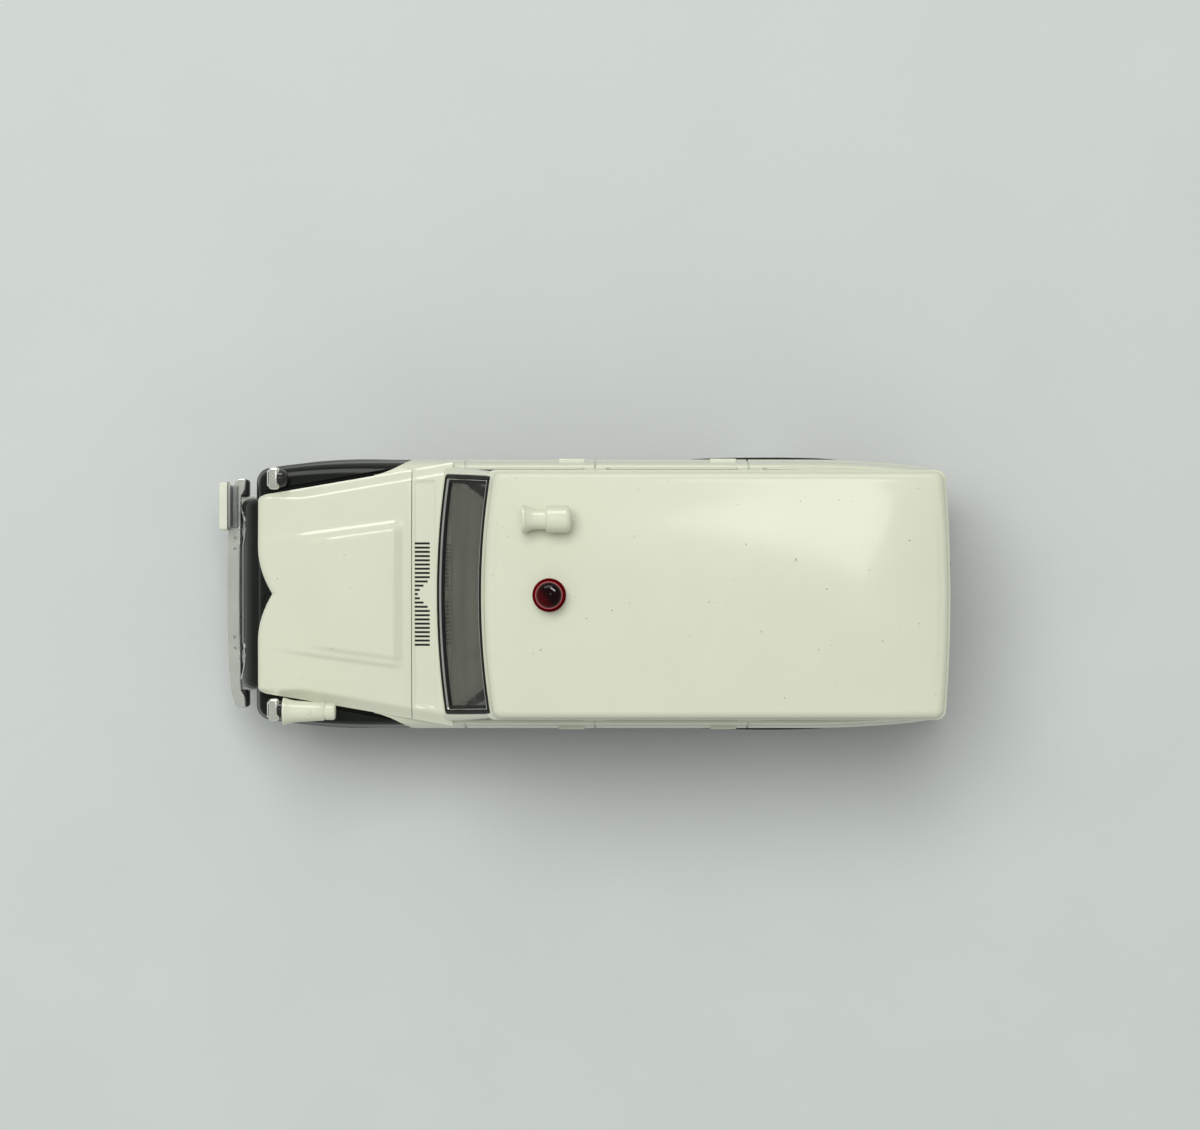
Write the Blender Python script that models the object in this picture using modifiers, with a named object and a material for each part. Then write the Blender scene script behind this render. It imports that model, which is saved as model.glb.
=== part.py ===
"""A 1:64 die-cast off-road wagon in patrol trim, as an assembly of separate pieces.

Metres, with the ground at Z 0, the nose towards -X and the wagon's right side towards +Y.
"""

import math

import bmesh
import bpy
from mathutils import Vector

# Clearances shared by the pieces
FIT = 0.1e-3
RUNNING = 0.05e-3
SINK = 0.5e-3
ROUND_STEPS = 4

# Running gear
TYRE_RADIUS = 6.0e-3
TYRE_WIDTH = 3.0e-3
RIM_RADIUS = 3.7e-3
RIM_WIDTH = 2.6e-3
AXLE_RADIUS = 0.6e-3
AXLE_HEAD_RADIUS = 1.0e-3
AXLE_HEAD = 0.45e-3
TRACK = 21.8e-3
WHEEL_BASE = 42.2e-3
FRONT_AXLE_X = -24.0e-3
REAR_AXLE_X = FRONT_AXLE_X + WHEEL_BASE
AXLE_Z = TYRE_RADIUS
AXLE_TRAVEL = 0.8e-3
STRIP_THICKNESS = 0.25e-3
STRIP_WIDTH = 1.8e-3
ARCH_GAP = 1.3e-3
ARCH_RADIUS = TYRE_RADIUS + ARCH_GAP
FLARE_WIDTH = 0.8e-3
FLARE_STANDS_OUT = 0.25e-3

# Heights of the body, each measured up from the one below
SILL_Z = AXLE_Z + 1.3e-3
CREASE_Z = SILL_Z + 7.5e-3
BELT_Z = CREASE_Z + 3.1e-3
WINDOW_BASE_Z = BELT_Z + 0.8e-3
WINDOW_HEIGHT = 7.4e-3
WINDOW_TOP_Z = WINDOW_BASE_Z + WINDOW_HEIGHT
GUTTER_Z = WINDOW_TOP_Z + 0.45e-3
ROOF_EDGE_Z = GUTTER_Z + 1.25e-3
ROOF_RADIUS = 0.75e-3
ROOF_CROWN = 0.5e-3

# Plan of the body
BODY_HALF_WIDTH = 13.35e-3
FRONT_OVERHANG = 8.3e-3
FENDER_FRONT_X = FRONT_AXLE_X - FRONT_OVERHANG
TAIL_X = 35.6e-3
TAIL_BOW = 0.5e-3
FRONT_TAPER = 1.0e-3
FRONT_TAPER_RUN = 11.5e-3
REAR_TAPER = 0.9e-3
REAR_TAPER_RUN = 13.6e-3
FRONT_CORNER = 1.5e-3
REAR_CORNER = 1.6e-3
STATION_STEP = 4.5e-3
WALL = 1.35e-3

# Cabin above the belt
SCREEN_X = -14.38e-3
SCREEN_BASE_Z = BELT_Z + 1.3e-3
SCREEN_SLOPE = 0.571
SCREEN_BOW = 0.94e-3
CABIN_SHOULDER = 0.85e-3
CABIN_HALF_WIDTH = BODY_HALF_WIDTH - CABIN_SHOULDER
CABIN_LEAN = 0.75e-3
ROOF_HALF_WIDTH = CABIN_HALF_WIDTH - CABIN_LEAN
CABIN_TAIL_INSET = 0.85e-3
GUTTER_STANDS_OUT = 0.25e-3
CABIN_WALL = 0.9e-3
CABIN_CORNER = 0.9e-3
GLASS = 0.6e-3
PANE_RECESS = 0.25e-3
WINDOW_CORNER = 0.7e-3
PILLAR_B = (0.06e-3, 2.18e-3)
PILLAR_C = (15.04e-3, 17.5e-3)
REAR_LIGHT_HALF_WIDTH = CABIN_HALF_WIDTH - 2.9e-3

# Hood and nose
HOOD_FRONT_X = FENDER_FRONT_X + 0.12e-3
HOOD_LINE_X = -16.9e-3
HOOD_REAR_HALF_WIDTH = BODY_HALF_WIDTH - 1.05e-3
HOOD_FRONT_HALF_WIDTH = HOOD_REAR_HALF_WIDTH - 2.6e-3
HOOD_NOTCH = 1.42e-3
HOOD_LOBE = 4.7e-3
HOOD_EDGE_Z = CREASE_Z + 1.8e-3
HOOD_SHOULDER = 0.85e-3
HOOD_RISE = 0.075
HOOD_SIDE = 1.25e-3
HOOD_CROWN = 0.2e-3
BULGE_RISE = 0.4e-3
BULGE_HALF_WIDTHS = (5.4e-3, 6.5e-3)
FENDER_TOP_Z = CREASE_Z + 1.75e-3
NOSE_X = FENDER_FRONT_X - 2.05e-3
NOSE_HALF_WIDTH = HOOD_FRONT_HALF_WIDTH - 0.2e-3
NOSE_BASE_Z = SILL_Z + 1.7e-3

# Grille and lamps
LAMP_Y = NOSE_HALF_WIDTH - 3.15e-3
LAMP_Z = CREASE_Z - 3.1e-3
LAMP_POCKET = 2.1e-3
LAMP_RADIUS = 1.7e-3
GRILLE_HALF_HEIGHT = 1.55e-3
GRILLE_DEPTH = 0.6e-3

# Chassis
PLATE_THICKNESS = 0.8e-3
PLATE_Z = AXLE_Z + AXLE_RADIUS + AXLE_TRAVEL + STRIP_THICKNESS + 0.15e-3
PLATE_TOP_Z = PLATE_Z + PLATE_THICKNESS
CHASSIS_NARROW = TRACK / 2 - TYRE_WIDTH / 2 - 1.0e-3
EAR_THICKNESS = 1.2e-3
EAR_HALF_LENGTH = 1.7e-3
WELL_WALL = 0.6e-3
POST_RADIUS = 2.0e-3
FRONT_POST_X = -17.6e-3
SCREW_RADIUS = 0.6e-3
SCREW_HEAD_RADIUS = 1.3e-3
SCREW_HEAD = 0.6e-3
SCREW_REACH = 4.0e-3

# Front bumper and plate
BUMPER_FRONT_X = NOSE_X - 1.75e-3
BUMPER_DEPTH = 1.3e-3
BUMPER_HALF_WIDTH = BODY_HALF_WIDTH - 1.75e-3
BUMPER_Z = SILL_Z + 0.2e-3
BUMPER_HEIGHT = 2.1e-3
BUMPER_IRON_Y = BUMPER_HALF_WIDTH - 2.2e-3
PLATE_Y = BUMPER_HALF_WIDTH - 2.83e-3
PLATE_SIZE = (0.6e-3, 4.87e-3, 2.5e-3)

# Fittings on the fenders and the roof
SIGNAL_X = FENDER_FRONT_X + 1.1e-3
SIGNAL_Y = BODY_HALF_WIDTH - 1.95e-3
SIGNAL_SIZE = (1.35e-3, 2.2e-3, 1.6e-3)
PEG_RADIUS = 0.5e-3
PEG_LENGTH = 1.3e-3
HORN_RADIUS = 1.35e-3
FENDER_HORN_X = FENDER_FRONT_X + 2.8e-3
FENDER_HORN_Y = 1.85e-3 - BODY_HALF_WIDTH
FENDER_HORN_LENGTH = 5.2e-3
ROOF_HORN_X = -5.78e-3
ROOF_HORN_Y = ROOF_HALF_WIDTH - 4.55e-3
ROOF_HORN_LENGTH = 4.86e-3
BEACON_X = -3.23e-3
BEACON_RADIUS = 1.6e-3
BEACON_HEIGHT = 2.6e-3

# Tail fittings
TAIL_LAMP_Y = BODY_HALF_WIDTH - 3.15e-3
TAIL_LAMP_SIZE = (1.2e-3, 1.8e-3, 3.6e-3)
TAIL_LAMP_Z = CREASE_Z - 4.6e-3
HANDLE_Y = 2.0e-3
HANDLE_WIDTH = 2.75e-3
REAR_BUMPER_WIDTH = 6.0e-3


# Scene, collections and finishes
for leftover in list(bpy.data.objects):
    bpy.data.objects.remove(leftover, do_unlink=True)
PARTS = bpy.data.collections.new("die_cast_wagon")
HELPERS = bpy.data.collections.new("cutters_and_blocks")
for group in (PARTS, HELPERS):
    bpy.context.scene.collection.children.link(group)


def finish(name, colour, roughness, metallic=0.0):
    """A plain Principled finish."""
    paint = bpy.data.materials.new(name)
    paint.use_nodes = True
    shader = paint.node_tree.nodes["Principled BSDF"]
    shader.inputs["Base Color"].default_value = (*colour, 1.0)
    shader.inputs["Roughness"].default_value = roughness
    shader.inputs["Metallic"].default_value = metallic
    return paint


# Shapes
def helper(name, shape):
    """An object that only cuts or joins others, from a bmesh with its faces turned outwards."""
    bmesh.ops.recalc_face_normals(shape, faces=shape.faces)
    mesh = bpy.data.meshes.new(name)
    shape.to_mesh(mesh)
    shape.free()
    obj = bpy.data.objects.new(name, mesh)
    obj.hide_render = True
    obj.display_type = "WIRE"
    HELPERS.objects.link(obj)
    return obj


def piece(obj, paint, parent=None):
    """Makes an object one of the wagon's pieces, in the given finish."""
    HELPERS.objects.unlink(obj)
    PARTS.objects.link(obj)
    obj.hide_render = False
    obj.display_type = "TEXTURED"
    obj.data.materials.clear()
    obj.data.materials.append(paint)
    if parent:
        obj.parent = parent
        obj.matrix_parent_inverse = parent.matrix_world.inverted()
    return obj


def combine(obj, operation, tools):
    """Joins or cuts an object with others, one exact Boolean for each."""
    for tool in tools:
        step = obj.modifiers.new(tool.name, "BOOLEAN")
        step.operation = operation
        step.solver = "EXACT"
        step.object = tool
    return obj


def arc(u, v, radius, start, end, steps):
    """Points along an arc between two angles in degrees, both ends included."""
    angles = [math.radians(start + (end - start) * i / steps) for i in range(steps + 1)]
    return [(u + radius * math.cos(a), v + radius * math.sin(a)) for a in angles]


def rounded(corners, steps=ROUND_STEPS):
    """An outline with each corner (u, v, radius) rounded, or left sharp where its radius is 0."""
    points = []
    for i, (u, v, radius) in enumerate(corners):
        here = Vector((u, v))
        if radius == 0:
            points.append((u, v))
            continue
        back = (Vector(corners[i - 1][:2]) - here).normalized()
        ahead = (Vector(corners[(i + 1) % len(corners)][:2]) - here).normalized()
        half = back.angle(ahead) / 2
        centre = here + (back + ahead).normalized() * (radius / math.sin(half))
        first = here + back * (radius / math.tan(half)) - centre
        last = here + ahead * (radius / math.tan(half)) - centre
        start = math.atan2(first.y, first.x)
        turn = math.remainder(math.atan2(last.y, last.x) - start, math.tau)
        points += arc(centre.x, centre.y, radius, math.degrees(start), math.degrees(start + turn), steps)
    return points


def at(axis, u, v, w):
    """A point from outline coordinates u, v and a distance w along the axis."""
    return {"X": (w, u, v), "Y": (u, w, v), "Z": (u, v, w)}[axis]


def loft(name, loops, bevel=0.0):
    """A closed solid through loops of equally many points, with both ends capped."""
    shape = bmesh.new()
    rings = [[shape.verts.new(point) for point in loop] for loop in loops]
    count = len(rings[0])
    for lower, upper in zip(rings, rings[1:]):
        for i in range(count):
            j = (i + 1) % count
            shape.faces.new((lower[i], lower[j], upper[j], upper[i]))
    shape.faces.new(rings[0][::-1])
    shape.faces.new(rings[-1])
    if bevel:
        bmesh.ops.bevel(shape, geom=shape.edges[:], offset=bevel, segments=2, profile=0.5, affect="EDGES")
    return helper(name, shape)


def prism(name, outline, low, high, axis="Z", bevel=0.0):
    """A flat outline pushed from low to high along an axis."""
    return loft(name, [[at(axis, u, v, w) for u, v in outline] for w in (low, high)], bevel)


def block(name, x, y, z, bevel=0.0):
    """A box between pairs of limits, with its edges rounded."""
    shape = bmesh.new()
    bmesh.ops.create_cube(shape, size=1.0)
    bmesh.ops.scale(shape, verts=shape.verts, vec=(x[1] - x[0], y[1] - y[0], z[1] - z[0]))
    bmesh.ops.translate(shape, verts=shape.verts, vec=[(a + b) / 2 for a, b in (x, y, z)])
    if bevel:
        bmesh.ops.bevel(shape, geom=shape.edges[:], offset=bevel, segments=2, profile=0.5, affect="EDGES")
    return helper(name, shape)


def turned(name, profile, place, turn=(0.0, 0.0, 0.0), steps=24, ring=False):
    """A profile of (radius, height) points turned about the object's own Z axis, outer side running down."""
    shape = bmesh.new()
    points = [shape.verts.new((radius, 0.0, height)) for radius, height in profile]
    for first, second in zip(points, points[1:]):
        shape.edges.new((first, second))
    if ring:
        shape.edges.new((points[-1], points[0]))
    obj = helper(name, shape)
    obj.location = place
    obj.rotation_euler = turn
    screw = obj.modifiers.new("turn", "SCREW")
    screw.axis = "Z"
    screw.steps = steps
    screw.render_steps = steps
    screw.use_merge_vertices = True
    screw.merge_threshold = 1e-6
    return obj


def rod(name, radius, low, high, place, turn=(0.0, 0.0, 0.0), steps=16):
    """A round bar from low to high along the object's own Z axis."""
    return turned(name, [(0, high), (radius, high), (radius, low), (0, low)], place, turn, steps)


ALONG_X = (0.0, math.pi / 2, 0.0)
ALONG_Y = (-math.pi / 2, 0.0, 0.0)


# Plans and sections of the body
def half_width(x):
    """Half the body's width at a station, drawn in towards both ends."""
    ahead = max(0.0, FENDER_FRONT_X + FRONT_TAPER_RUN - x) / FRONT_TAPER_RUN
    behind = max(0.0, x - TAIL_X + REAR_TAPER_RUN) / REAR_TAPER_RUN
    return BODY_HALF_WIDTH - FRONT_TAPER * ahead**2 - REAR_TAPER * behind**2


def body_plan(inset, front=FENDER_FRONT_X, rear=TAIL_X):
    """The body's outline from above at one level, drawn in by inset."""
    first = front + inset
    last = rear - inset
    count = max(3, round((rear - front) / STATION_STEP))
    stations = [first + (last - first) * i / count for i in range(count + 1)]
    side = [(x, half_width(x) - inset, 0) for x in stations]
    nose_radius = max(FRONT_CORNER - inset, 0.3e-3)
    tail_radius = max(REAR_CORNER - inset, 0.3e-3)
    tail_y = half_width(last) - inset
    side[0] = (first, half_width(first) - inset, nose_radius)
    side[-1] = (last - TAIL_BOW, tail_y, tail_radius)
    left = [(x, -y, radius) for x, y, radius in side]
    tail = [(last - TAIL_BOW * share**2, tail_y * share, 0) for share in (-0.5, 0.0, 0.5)]
    return rounded(left + tail + side[::-1])


def body_levels(levels, front=FENDER_FRONT_X, rear=TAIL_X):
    """Loops of the body's plan at (height, inset) levels."""
    return [[(x, y, z) for x, y in body_plan(inset, front, rear)] for z, inset in levels]


def screen_x(z):
    """The windscreen's middle line at a height."""
    return SCREEN_X + (z - SCREEN_BASE_Z) * SCREEN_SLOPE


def cabin_half_width(z):
    """Half the cabin's width at a height, from the belt to the gutter."""
    return CABIN_HALF_WIDTH + (ROOF_HALF_WIDTH - CABIN_HALF_WIDTH) * (z - BELT_Z) / (GUTTER_Z - BELT_Z)


def cabin_plan(front, half, rear, radius):
    """The cabin's outline from above: a bowed screen, straight sides and a bowed tail."""
    shares = (0.75, 0.5, 0.25, 0.0, -0.25, -0.5, -0.75)
    screen = [(front + SCREEN_BOW * share**2, half * share, 0) for share in shares]
    tail = [(rear - TAIL_BOW * share**2, half * share, 0) for share in shares[::-1]]
    corners = [(front + SCREEN_BOW, -half, radius), (rear - TAIL_BOW, -half, radius)]
    return rounded(corners + tail + [(x, -y, r) for x, y, r in corners[::-1]] + screen)


def cabin_loop(z, inset=0.0, stands_out=0.0):
    """One level of the cabin, drawn in by inset, or with sides and tail standing out."""
    front = screen_x(z) + inset * math.hypot(1.0, SCREEN_SLOPE)
    rear = TAIL_X - CABIN_TAIL_INSET - inset + stands_out * 1.6
    half = cabin_half_width(z) - inset + stands_out
    return [(x, y, z) for x, y in cabin_plan(front, half, rear, max(CABIN_CORNER - inset, 0.4e-3))]


def cabin_inside(name, inset, low, lift=0.0):
    """The cabin's shape drawn in by inset, from a low level to under the roof."""
    high = ROOF_EDGE_Z - CABIN_WALL + 0.6e-3 - lift
    return loft(name, [cabin_loop(low, inset), cabin_loop(GUTTER_Z, inset), cabin_loop(high, inset)])


def hood_plan(inset, rear_x):
    """The hood's outline from above, with two front lobes that meet in a notch."""
    front = HOOD_FRONT_X + inset
    spread = (HOOD_REAR_HALF_WIDTH - HOOD_FRONT_HALF_WIDTH) / (HOOD_LINE_X - HOOD_FRONT_X)
    rear_y = HOOD_FRONT_HALF_WIDTH + spread * (rear_x - HOOD_FRONT_X) - inset
    lobe = [
        (front + HOOD_NOTCH * (1 - share) ** 2, HOOD_LOBE * share, 0)
        for share in (0.0, 0.2, 0.4, 0.6, 0.8, 1.0)
    ]
    right = lobe + [(front, HOOD_FRONT_HALF_WIDTH - inset, 0.9e-3), (rear_x, rear_y, 0)]
    return rounded([(x, -y, r) for x, y, r in right[:0:-1]] + right)


def hood_z(x):
    """Height of the hood's shoulder line at a station."""
    return HOOD_EDGE_Z + HOOD_SHOULDER + HOOD_RISE * (x - HOOD_FRONT_X)


def crown(obj, rise, cuts, centre, spans, level):
    """Slices a solid's flat top into a grid and lifts it into a low crown."""
    shape = bmesh.new()
    shape.from_mesh(obj.data)
    for place, direction in cuts:
        top = [f for f in shape.faces if all(level(v.co) for v in f.verts)]
        edges = {e for f in top for e in f.edges}
        points = {v for f in top for v in f.verts}
        bmesh.ops.bisect_plane(
            shape, geom=[*top, *edges, *points], plane_co=place, plane_no=direction, dist=1e-7
        )
    for point in shape.verts:
        if level(point.co):
            u = (point.co.x - centre[0]) / spans[0]
            v = (point.co.y - centre[1]) / spans[1]
            point.co.z += rise * max(0.0, 1 - v**2) * max(0.0, 1 - u**4)
    shape.to_mesh(obj.data)
    shape.free()
    return obj


# Body casting: outside blocks
lower_body = loft(
    "lower_body",
    body_levels(
        [
            (SILL_Z, 1.2e-3),
            (SILL_Z + 0.6e-3, 0.6e-3),
            (SILL_Z + 2.3e-3, 0.25e-3),
            (CREASE_Z, 0.0),
            (CREASE_Z + 0.3e-3, 0.15e-3),
        ]
    ),
)
fender_tops = loft(
    "fender_tops",
    body_levels(
        [
            (CREASE_Z - 0.8e-3, 0.3e-3),
            (FENDER_TOP_Z - 1.0e-3, 0.42e-3),
            (FENDER_TOP_Z - 0.4e-3, 0.8e-3),
            (FENDER_TOP_Z - 0.1e-3, 1.4e-3),
            (FENDER_TOP_Z, 2.2e-3),
        ],
        rear=SCREEN_X,
    ),
)
shoulders = loft(
    "shoulders",
    body_levels(
        [
            (CREASE_Z - 0.7e-3, 0.3e-3),
            (BELT_Z - 1.4e-3, 0.36e-3),
            (BELT_Z - 0.35e-3, 0.55e-3),
            (BELT_Z, 0.75e-3),
        ],
        front=HOOD_LINE_X - 1.0e-3,
    ),
)
nose_side = rounded(
    [
        (NOSE_X, NOSE_BASE_Z, 0.3e-3),
        (FENDER_FRONT_X + 3.0e-3, NOSE_BASE_Z, 0),
        (FENDER_FRONT_X + 3.0e-3, HOOD_EDGE_Z + 0.4e-3, 0),
        (HOOD_FRONT_X + 0.1e-3, HOOD_EDGE_Z + 0.2e-3, 0),
        (NOSE_X + 1.35e-3, HOOD_EDGE_Z - 1.2e-3, 0),
        (NOSE_X + 0.6e-3, LAMP_Z + 2.0e-3, 0),
        (NOSE_X, LAMP_Z + 0.5e-3, 0.5e-3),
    ]
)
nose_stations = [(1.0, 0.8e-3), (0.98, 0.35e-3), (0.95, 0.1e-3), (0.91, 0.0)]
nose_stations += [(-share, back) for share, back in nose_stations[::-1]]
nose = loft(
    "nose",
    [
        [(x + back * (x < FENDER_FRONT_X), share * NOSE_HALF_WIDTH, z) for x, z in nose_side]
        for share, back in nose_stations
    ],
)
hood_rear_x = screen_x(BELT_Z) + 2.0e-3
hood_levels = [(-1.0e-3, 0.0), (0.0, 0.0), (0.4e-3, 0.2e-3), (0.68e-3, 0.6e-3), (HOOD_SHOULDER, HOOD_SIDE)]
hood = loft(
    "hood",
    [
        [(x, y, hood_z(x) - HOOD_SHOULDER + z) for x, y in hood_plan(inset, hood_rear_x)]
        for z, inset in hood_levels
    ],
)
crown(
    hood,
    HOOD_CROWN,
    [((0, y * HOOD_FRONT_HALF_WIDTH, 0), (0, 1, 0)) for y in (-0.66, -0.33, 0.0, 0.33, 0.66)],
    (HOOD_LINE_X, 0.0),
    (HOOD_LINE_X - HOOD_FRONT_X, HOOD_REAR_HALF_WIDTH - HOOD_SIDE),
    lambda point: point.z > hood_z(point.x) - 1e-6,
)
bulge_ends = (HOOD_FRONT_X + 2.9e-3, HOOD_LINE_X - 1.0e-3)
bulge_foot = rounded(
    [
        (bulge_ends[0], -BULGE_HALF_WIDTHS[0], 0.9e-3),
        (bulge_ends[1], -BULGE_HALF_WIDTHS[1], 0.9e-3),
        (bulge_ends[1], BULGE_HALF_WIDTHS[1], 0.9e-3),
        (bulge_ends[0], BULGE_HALF_WIDTHS[0], 0.9e-3),
    ]
)
bulge_slope = BULGE_RISE / (bulge_ends[1] - bulge_ends[0])
hood_bulge = loft(
    "hood_bulge",
    [
        [(x, y, hood_z(x) - 0.4e-3) for x, y in bulge_foot],
        [(x, y, hood_z(x) + 0.06e-3) for x, y in bulge_foot],
        [
            (
                bulge_ends[0] + 1.2e-3 + (x - bulge_ends[0]) * 0.84,
                y * 0.9,
                hood_z(x) + HOOD_CROWN + 0.05e-3 + bulge_slope * (x - bulge_ends[0]),
            )
            for x, y in bulge_foot
        ],
    ],
)
roof_levels = [
    cabin_loop(BELT_Z - 1.3e-3),
    cabin_loop(GUTTER_Z),
    cabin_loop(GUTTER_Z + 0.05e-3, stands_out=GUTTER_STANDS_OUT),
    cabin_loop(GUTTER_Z + 0.45e-3, stands_out=GUTTER_STANDS_OUT),
    cabin_loop(GUTTER_Z + 0.55e-3, stands_out=0.1e-3),
]
for share in (0.0, 25.0, 50.0, 75.0, 90.0):
    drop = ROOF_RADIUS * (1 - math.cos(math.radians(share)))
    lift = ROOF_RADIUS * math.sin(math.radians(share))
    ring = cabin_loop(ROOF_EDGE_Z, inset=drop, stands_out=0.1e-3)
    roof_levels.append([(x, y, ROOF_EDGE_Z + lift) for x, y, z in ring])
cabin = loft("cabin", roof_levels)
roof_mid_x = (screen_x(ROOF_EDGE_Z) + TAIL_X - CABIN_TAIL_INSET) / 2
roof_half_length = (TAIL_X - CABIN_TAIL_INSET - screen_x(ROOF_EDGE_Z)) / 2
crown(
    cabin,
    ROOF_CROWN,
    [((0, y * ROOF_HALF_WIDTH, 0), (0, 1, 0)) for y in (-0.75, -0.5, -0.25, 0.0, 0.25, 0.5, 0.75)]
    + [((roof_mid_x + x * roof_half_length, 0, 0), (1, 0, 0)) for x in (-0.9, -0.75, -0.5, 0.0, 0.5, 0.75, 0.9)],
    (roof_mid_x, 0.0),
    (roof_half_length, cabin_half_width(ROOF_EDGE_Z) - ROOF_RADIUS),
    lambda point: point.z > ROOF_EDGE_Z + ROOF_RADIUS - 1e-7,
)
flares = []
for axle_x in (FRONT_AXLE_X, REAR_AXLE_X):
    flare = prism(
        f"flare_{len(flares)}",
        arc(axle_x, AXLE_Z, ARCH_RADIUS + FLARE_WIDTH, 18, 162, 14),
        -BODY_HALF_WIDTH - FLARE_STANDS_OUT,
        BODY_HALF_WIDTH + FLARE_STANDS_OUT,
        "Y",
    )
    flares.append(flare)
handles = []
for door_end in (PILLAR_B[0], PILLAR_C[0]):
    for side in (-1, 1):
        y = side * (BODY_HALF_WIDTH - 0.3e-3)
        handles.append(
            block(
                f"door_handle_{len(handles)}",
                (door_end - 2.6e-3, door_end + 0.1e-3),
                (y - 0.35e-3, y + 0.35e-3),
                (CREASE_Z + 0.9e-3, CREASE_Z + 1.5e-3),
                0.12e-3,
            )
        )

# Body casting: hollow inside, window openings, arches and seats for the fittings
under_body = loft("under_body", body_levels([(SILL_Z - 1.0e-3, WALL), (HOOD_EDGE_Z - 0.8e-3, WALL)]))
belt_inside = prism(
    "belt_inside",
    rounded(
        [
            (screen_x(BELT_Z) + 1.15e-3, -CABIN_HALF_WIDTH + CABIN_WALL, 0.5e-3),
            (TAIL_X - 2.0e-3, -CABIN_HALF_WIDTH + CABIN_WALL, 0.5e-3),
            (TAIL_X - 2.0e-3, CABIN_HALF_WIDTH - CABIN_WALL, 0.5e-3),
            (screen_x(BELT_Z) + 1.15e-3, CABIN_HALF_WIDTH - CABIN_WALL, 0.5e-3),
        ]
    ),
    CREASE_Z - 1.0e-3,
    BELT_Z - 0.2e-3,
)
inside = cabin_inside("cabin_hollow", CABIN_WALL, BELT_Z - 0.6e-3)
nose_core = block(
    "nose_core",
    (NOSE_X - 3.0e-3, FENDER_FRONT_X + WALL + 0.6e-3),
    (-BODY_HALF_WIDTH, BODY_HALF_WIDTH),
    (SILL_Z - 3.0e-3, BELT_Z),
)
arches = [
    rod(f"arch_{i}", ARCH_RADIUS, -2 * BODY_HALF_WIDTH, 2 * BODY_HALF_WIDTH, (x, 0, AXLE_Z), ALONG_Y, 40)
    for i, x in enumerate((FRONT_AXLE_X, REAR_AXLE_X))
]


def windows(kind, shrink):
    """Prisms through every window opening, drawn in by shrink."""
    low = WINDOW_BASE_Z + shrink
    high = WINDOW_TOP_Z - shrink
    radius = WINDOW_CORNER - shrink
    rake = SCREEN_SLOPE * (high - low)
    vent_x = screen_x(WINDOW_BASE_Z) + SCREEN_BOW + 1.5e-3 + shrink
    last_x = TAIL_X - CABIN_TAIL_INSET - 2.2e-3 - shrink
    outlines = [
        [(vent_x, low), (PILLAR_B[0] - shrink, low), (PILLAR_B[0] - shrink, high), (vent_x + rake, high)],
        [(PILLAR_B[1] + shrink, low), (PILLAR_C[0] - shrink, low), (PILLAR_C[0] - shrink, high)],
        [(PILLAR_C[1] + shrink, low), (last_x, low), (last_x - 0.3e-3, high), (PILLAR_C[1] + shrink, high)],
    ]
    outlines[1].append((PILLAR_B[1] + shrink, high))
    reach = 2 * BODY_HALF_WIDTH
    openings = []
    for i, outline in enumerate(outlines):
        shape = rounded([(x, z, radius) for x, z in outline])
        openings.append(prism(f"{kind}_side_{i}", shape, -reach, reach, "Y"))
    screen_high = ROOF_EDGE_Z - 0.55e-3 - shrink
    screen_low = SCREEN_BASE_Z + shrink
    ends = [(cabin_half_width(screen_low) - 0.95e-3 - shrink, screen_low)]
    ends.append((cabin_half_width(screen_high) - 0.6e-3 - shrink, screen_high))
    corners = [(-ends[0][0], ends[0][1]), ends[0], ends[1], (-ends[1][0], ends[1][1])]
    shape = rounded([(y, z, radius) for y, z in corners])
    openings.append(prism(f"{kind}_screen", shape, 2 * SCREEN_X, PILLAR_B[0] - 4.0e-3, "X"))
    wide = REAR_LIGHT_HALF_WIDTH - shrink
    corners = [(-wide, low), (wide, low), (wide - 0.5e-3, high), (-wide + 0.5e-3, high)]
    shape = rounded([(y, z, radius) for y, z in corners])
    openings.append(prism(f"{kind}_tail", shape, TAIL_X - 5.0e-3, TAIL_X + 5.0e-3, "X"))
    return openings


def dog_bone(shrink):
    """The grille's outline from the front: two lamp circles joined by a band."""
    radius = LAMP_POCKET - shrink
    band = GRILLE_HALF_HEIGHT - shrink
    reach = 180 - math.degrees(math.asin(band / radius))
    right = arc(LAMP_Y, LAMP_Z, radius, -reach, reach, 16)
    return right + [(-y, 2 * LAMP_Z - z) for y, z in right]


grille_back_x = NOSE_X + 0.45e-3 + GRILLE_DEPTH + FIT
grille_pocket = prism("grille_pocket", dog_bone(0.0), NOSE_X - 1.0e-3, grille_back_x, "X")
roof_top_z = ROOF_EDGE_Z + ROOF_RADIUS
beacon_seat_z = roof_top_z + ROOF_CROWN
peg_holes = [
    rod(f"peg_hole_{i}", PEG_RADIUS + FIT, -PEG_LENGTH - 3.0e-3, 1.0e-3, place, (0, 0, 0), 12)
    for i, place in enumerate(
        (
            (BEACON_X, 0.0, beacon_seat_z + 0.2e-3),
            (ROOF_HORN_X + ROOF_HORN_LENGTH * 0.6, ROOF_HORN_Y, beacon_seat_z),
            (FENDER_HORN_X + FENDER_HORN_LENGTH * 0.5, FENDER_HORN_Y, FENDER_TOP_Z + 0.5e-3),
            (SIGNAL_X + SIGNAL_SIZE[0] / 2 + 0.2e-3, SIGNAL_Y, FENDER_TOP_Z + 0.5e-3),
            (SIGNAL_X + SIGNAL_SIZE[0] / 2 + 0.2e-3, -SIGNAL_Y, FENDER_TOP_Z + 0.5e-3),
        )
    )
]
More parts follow.
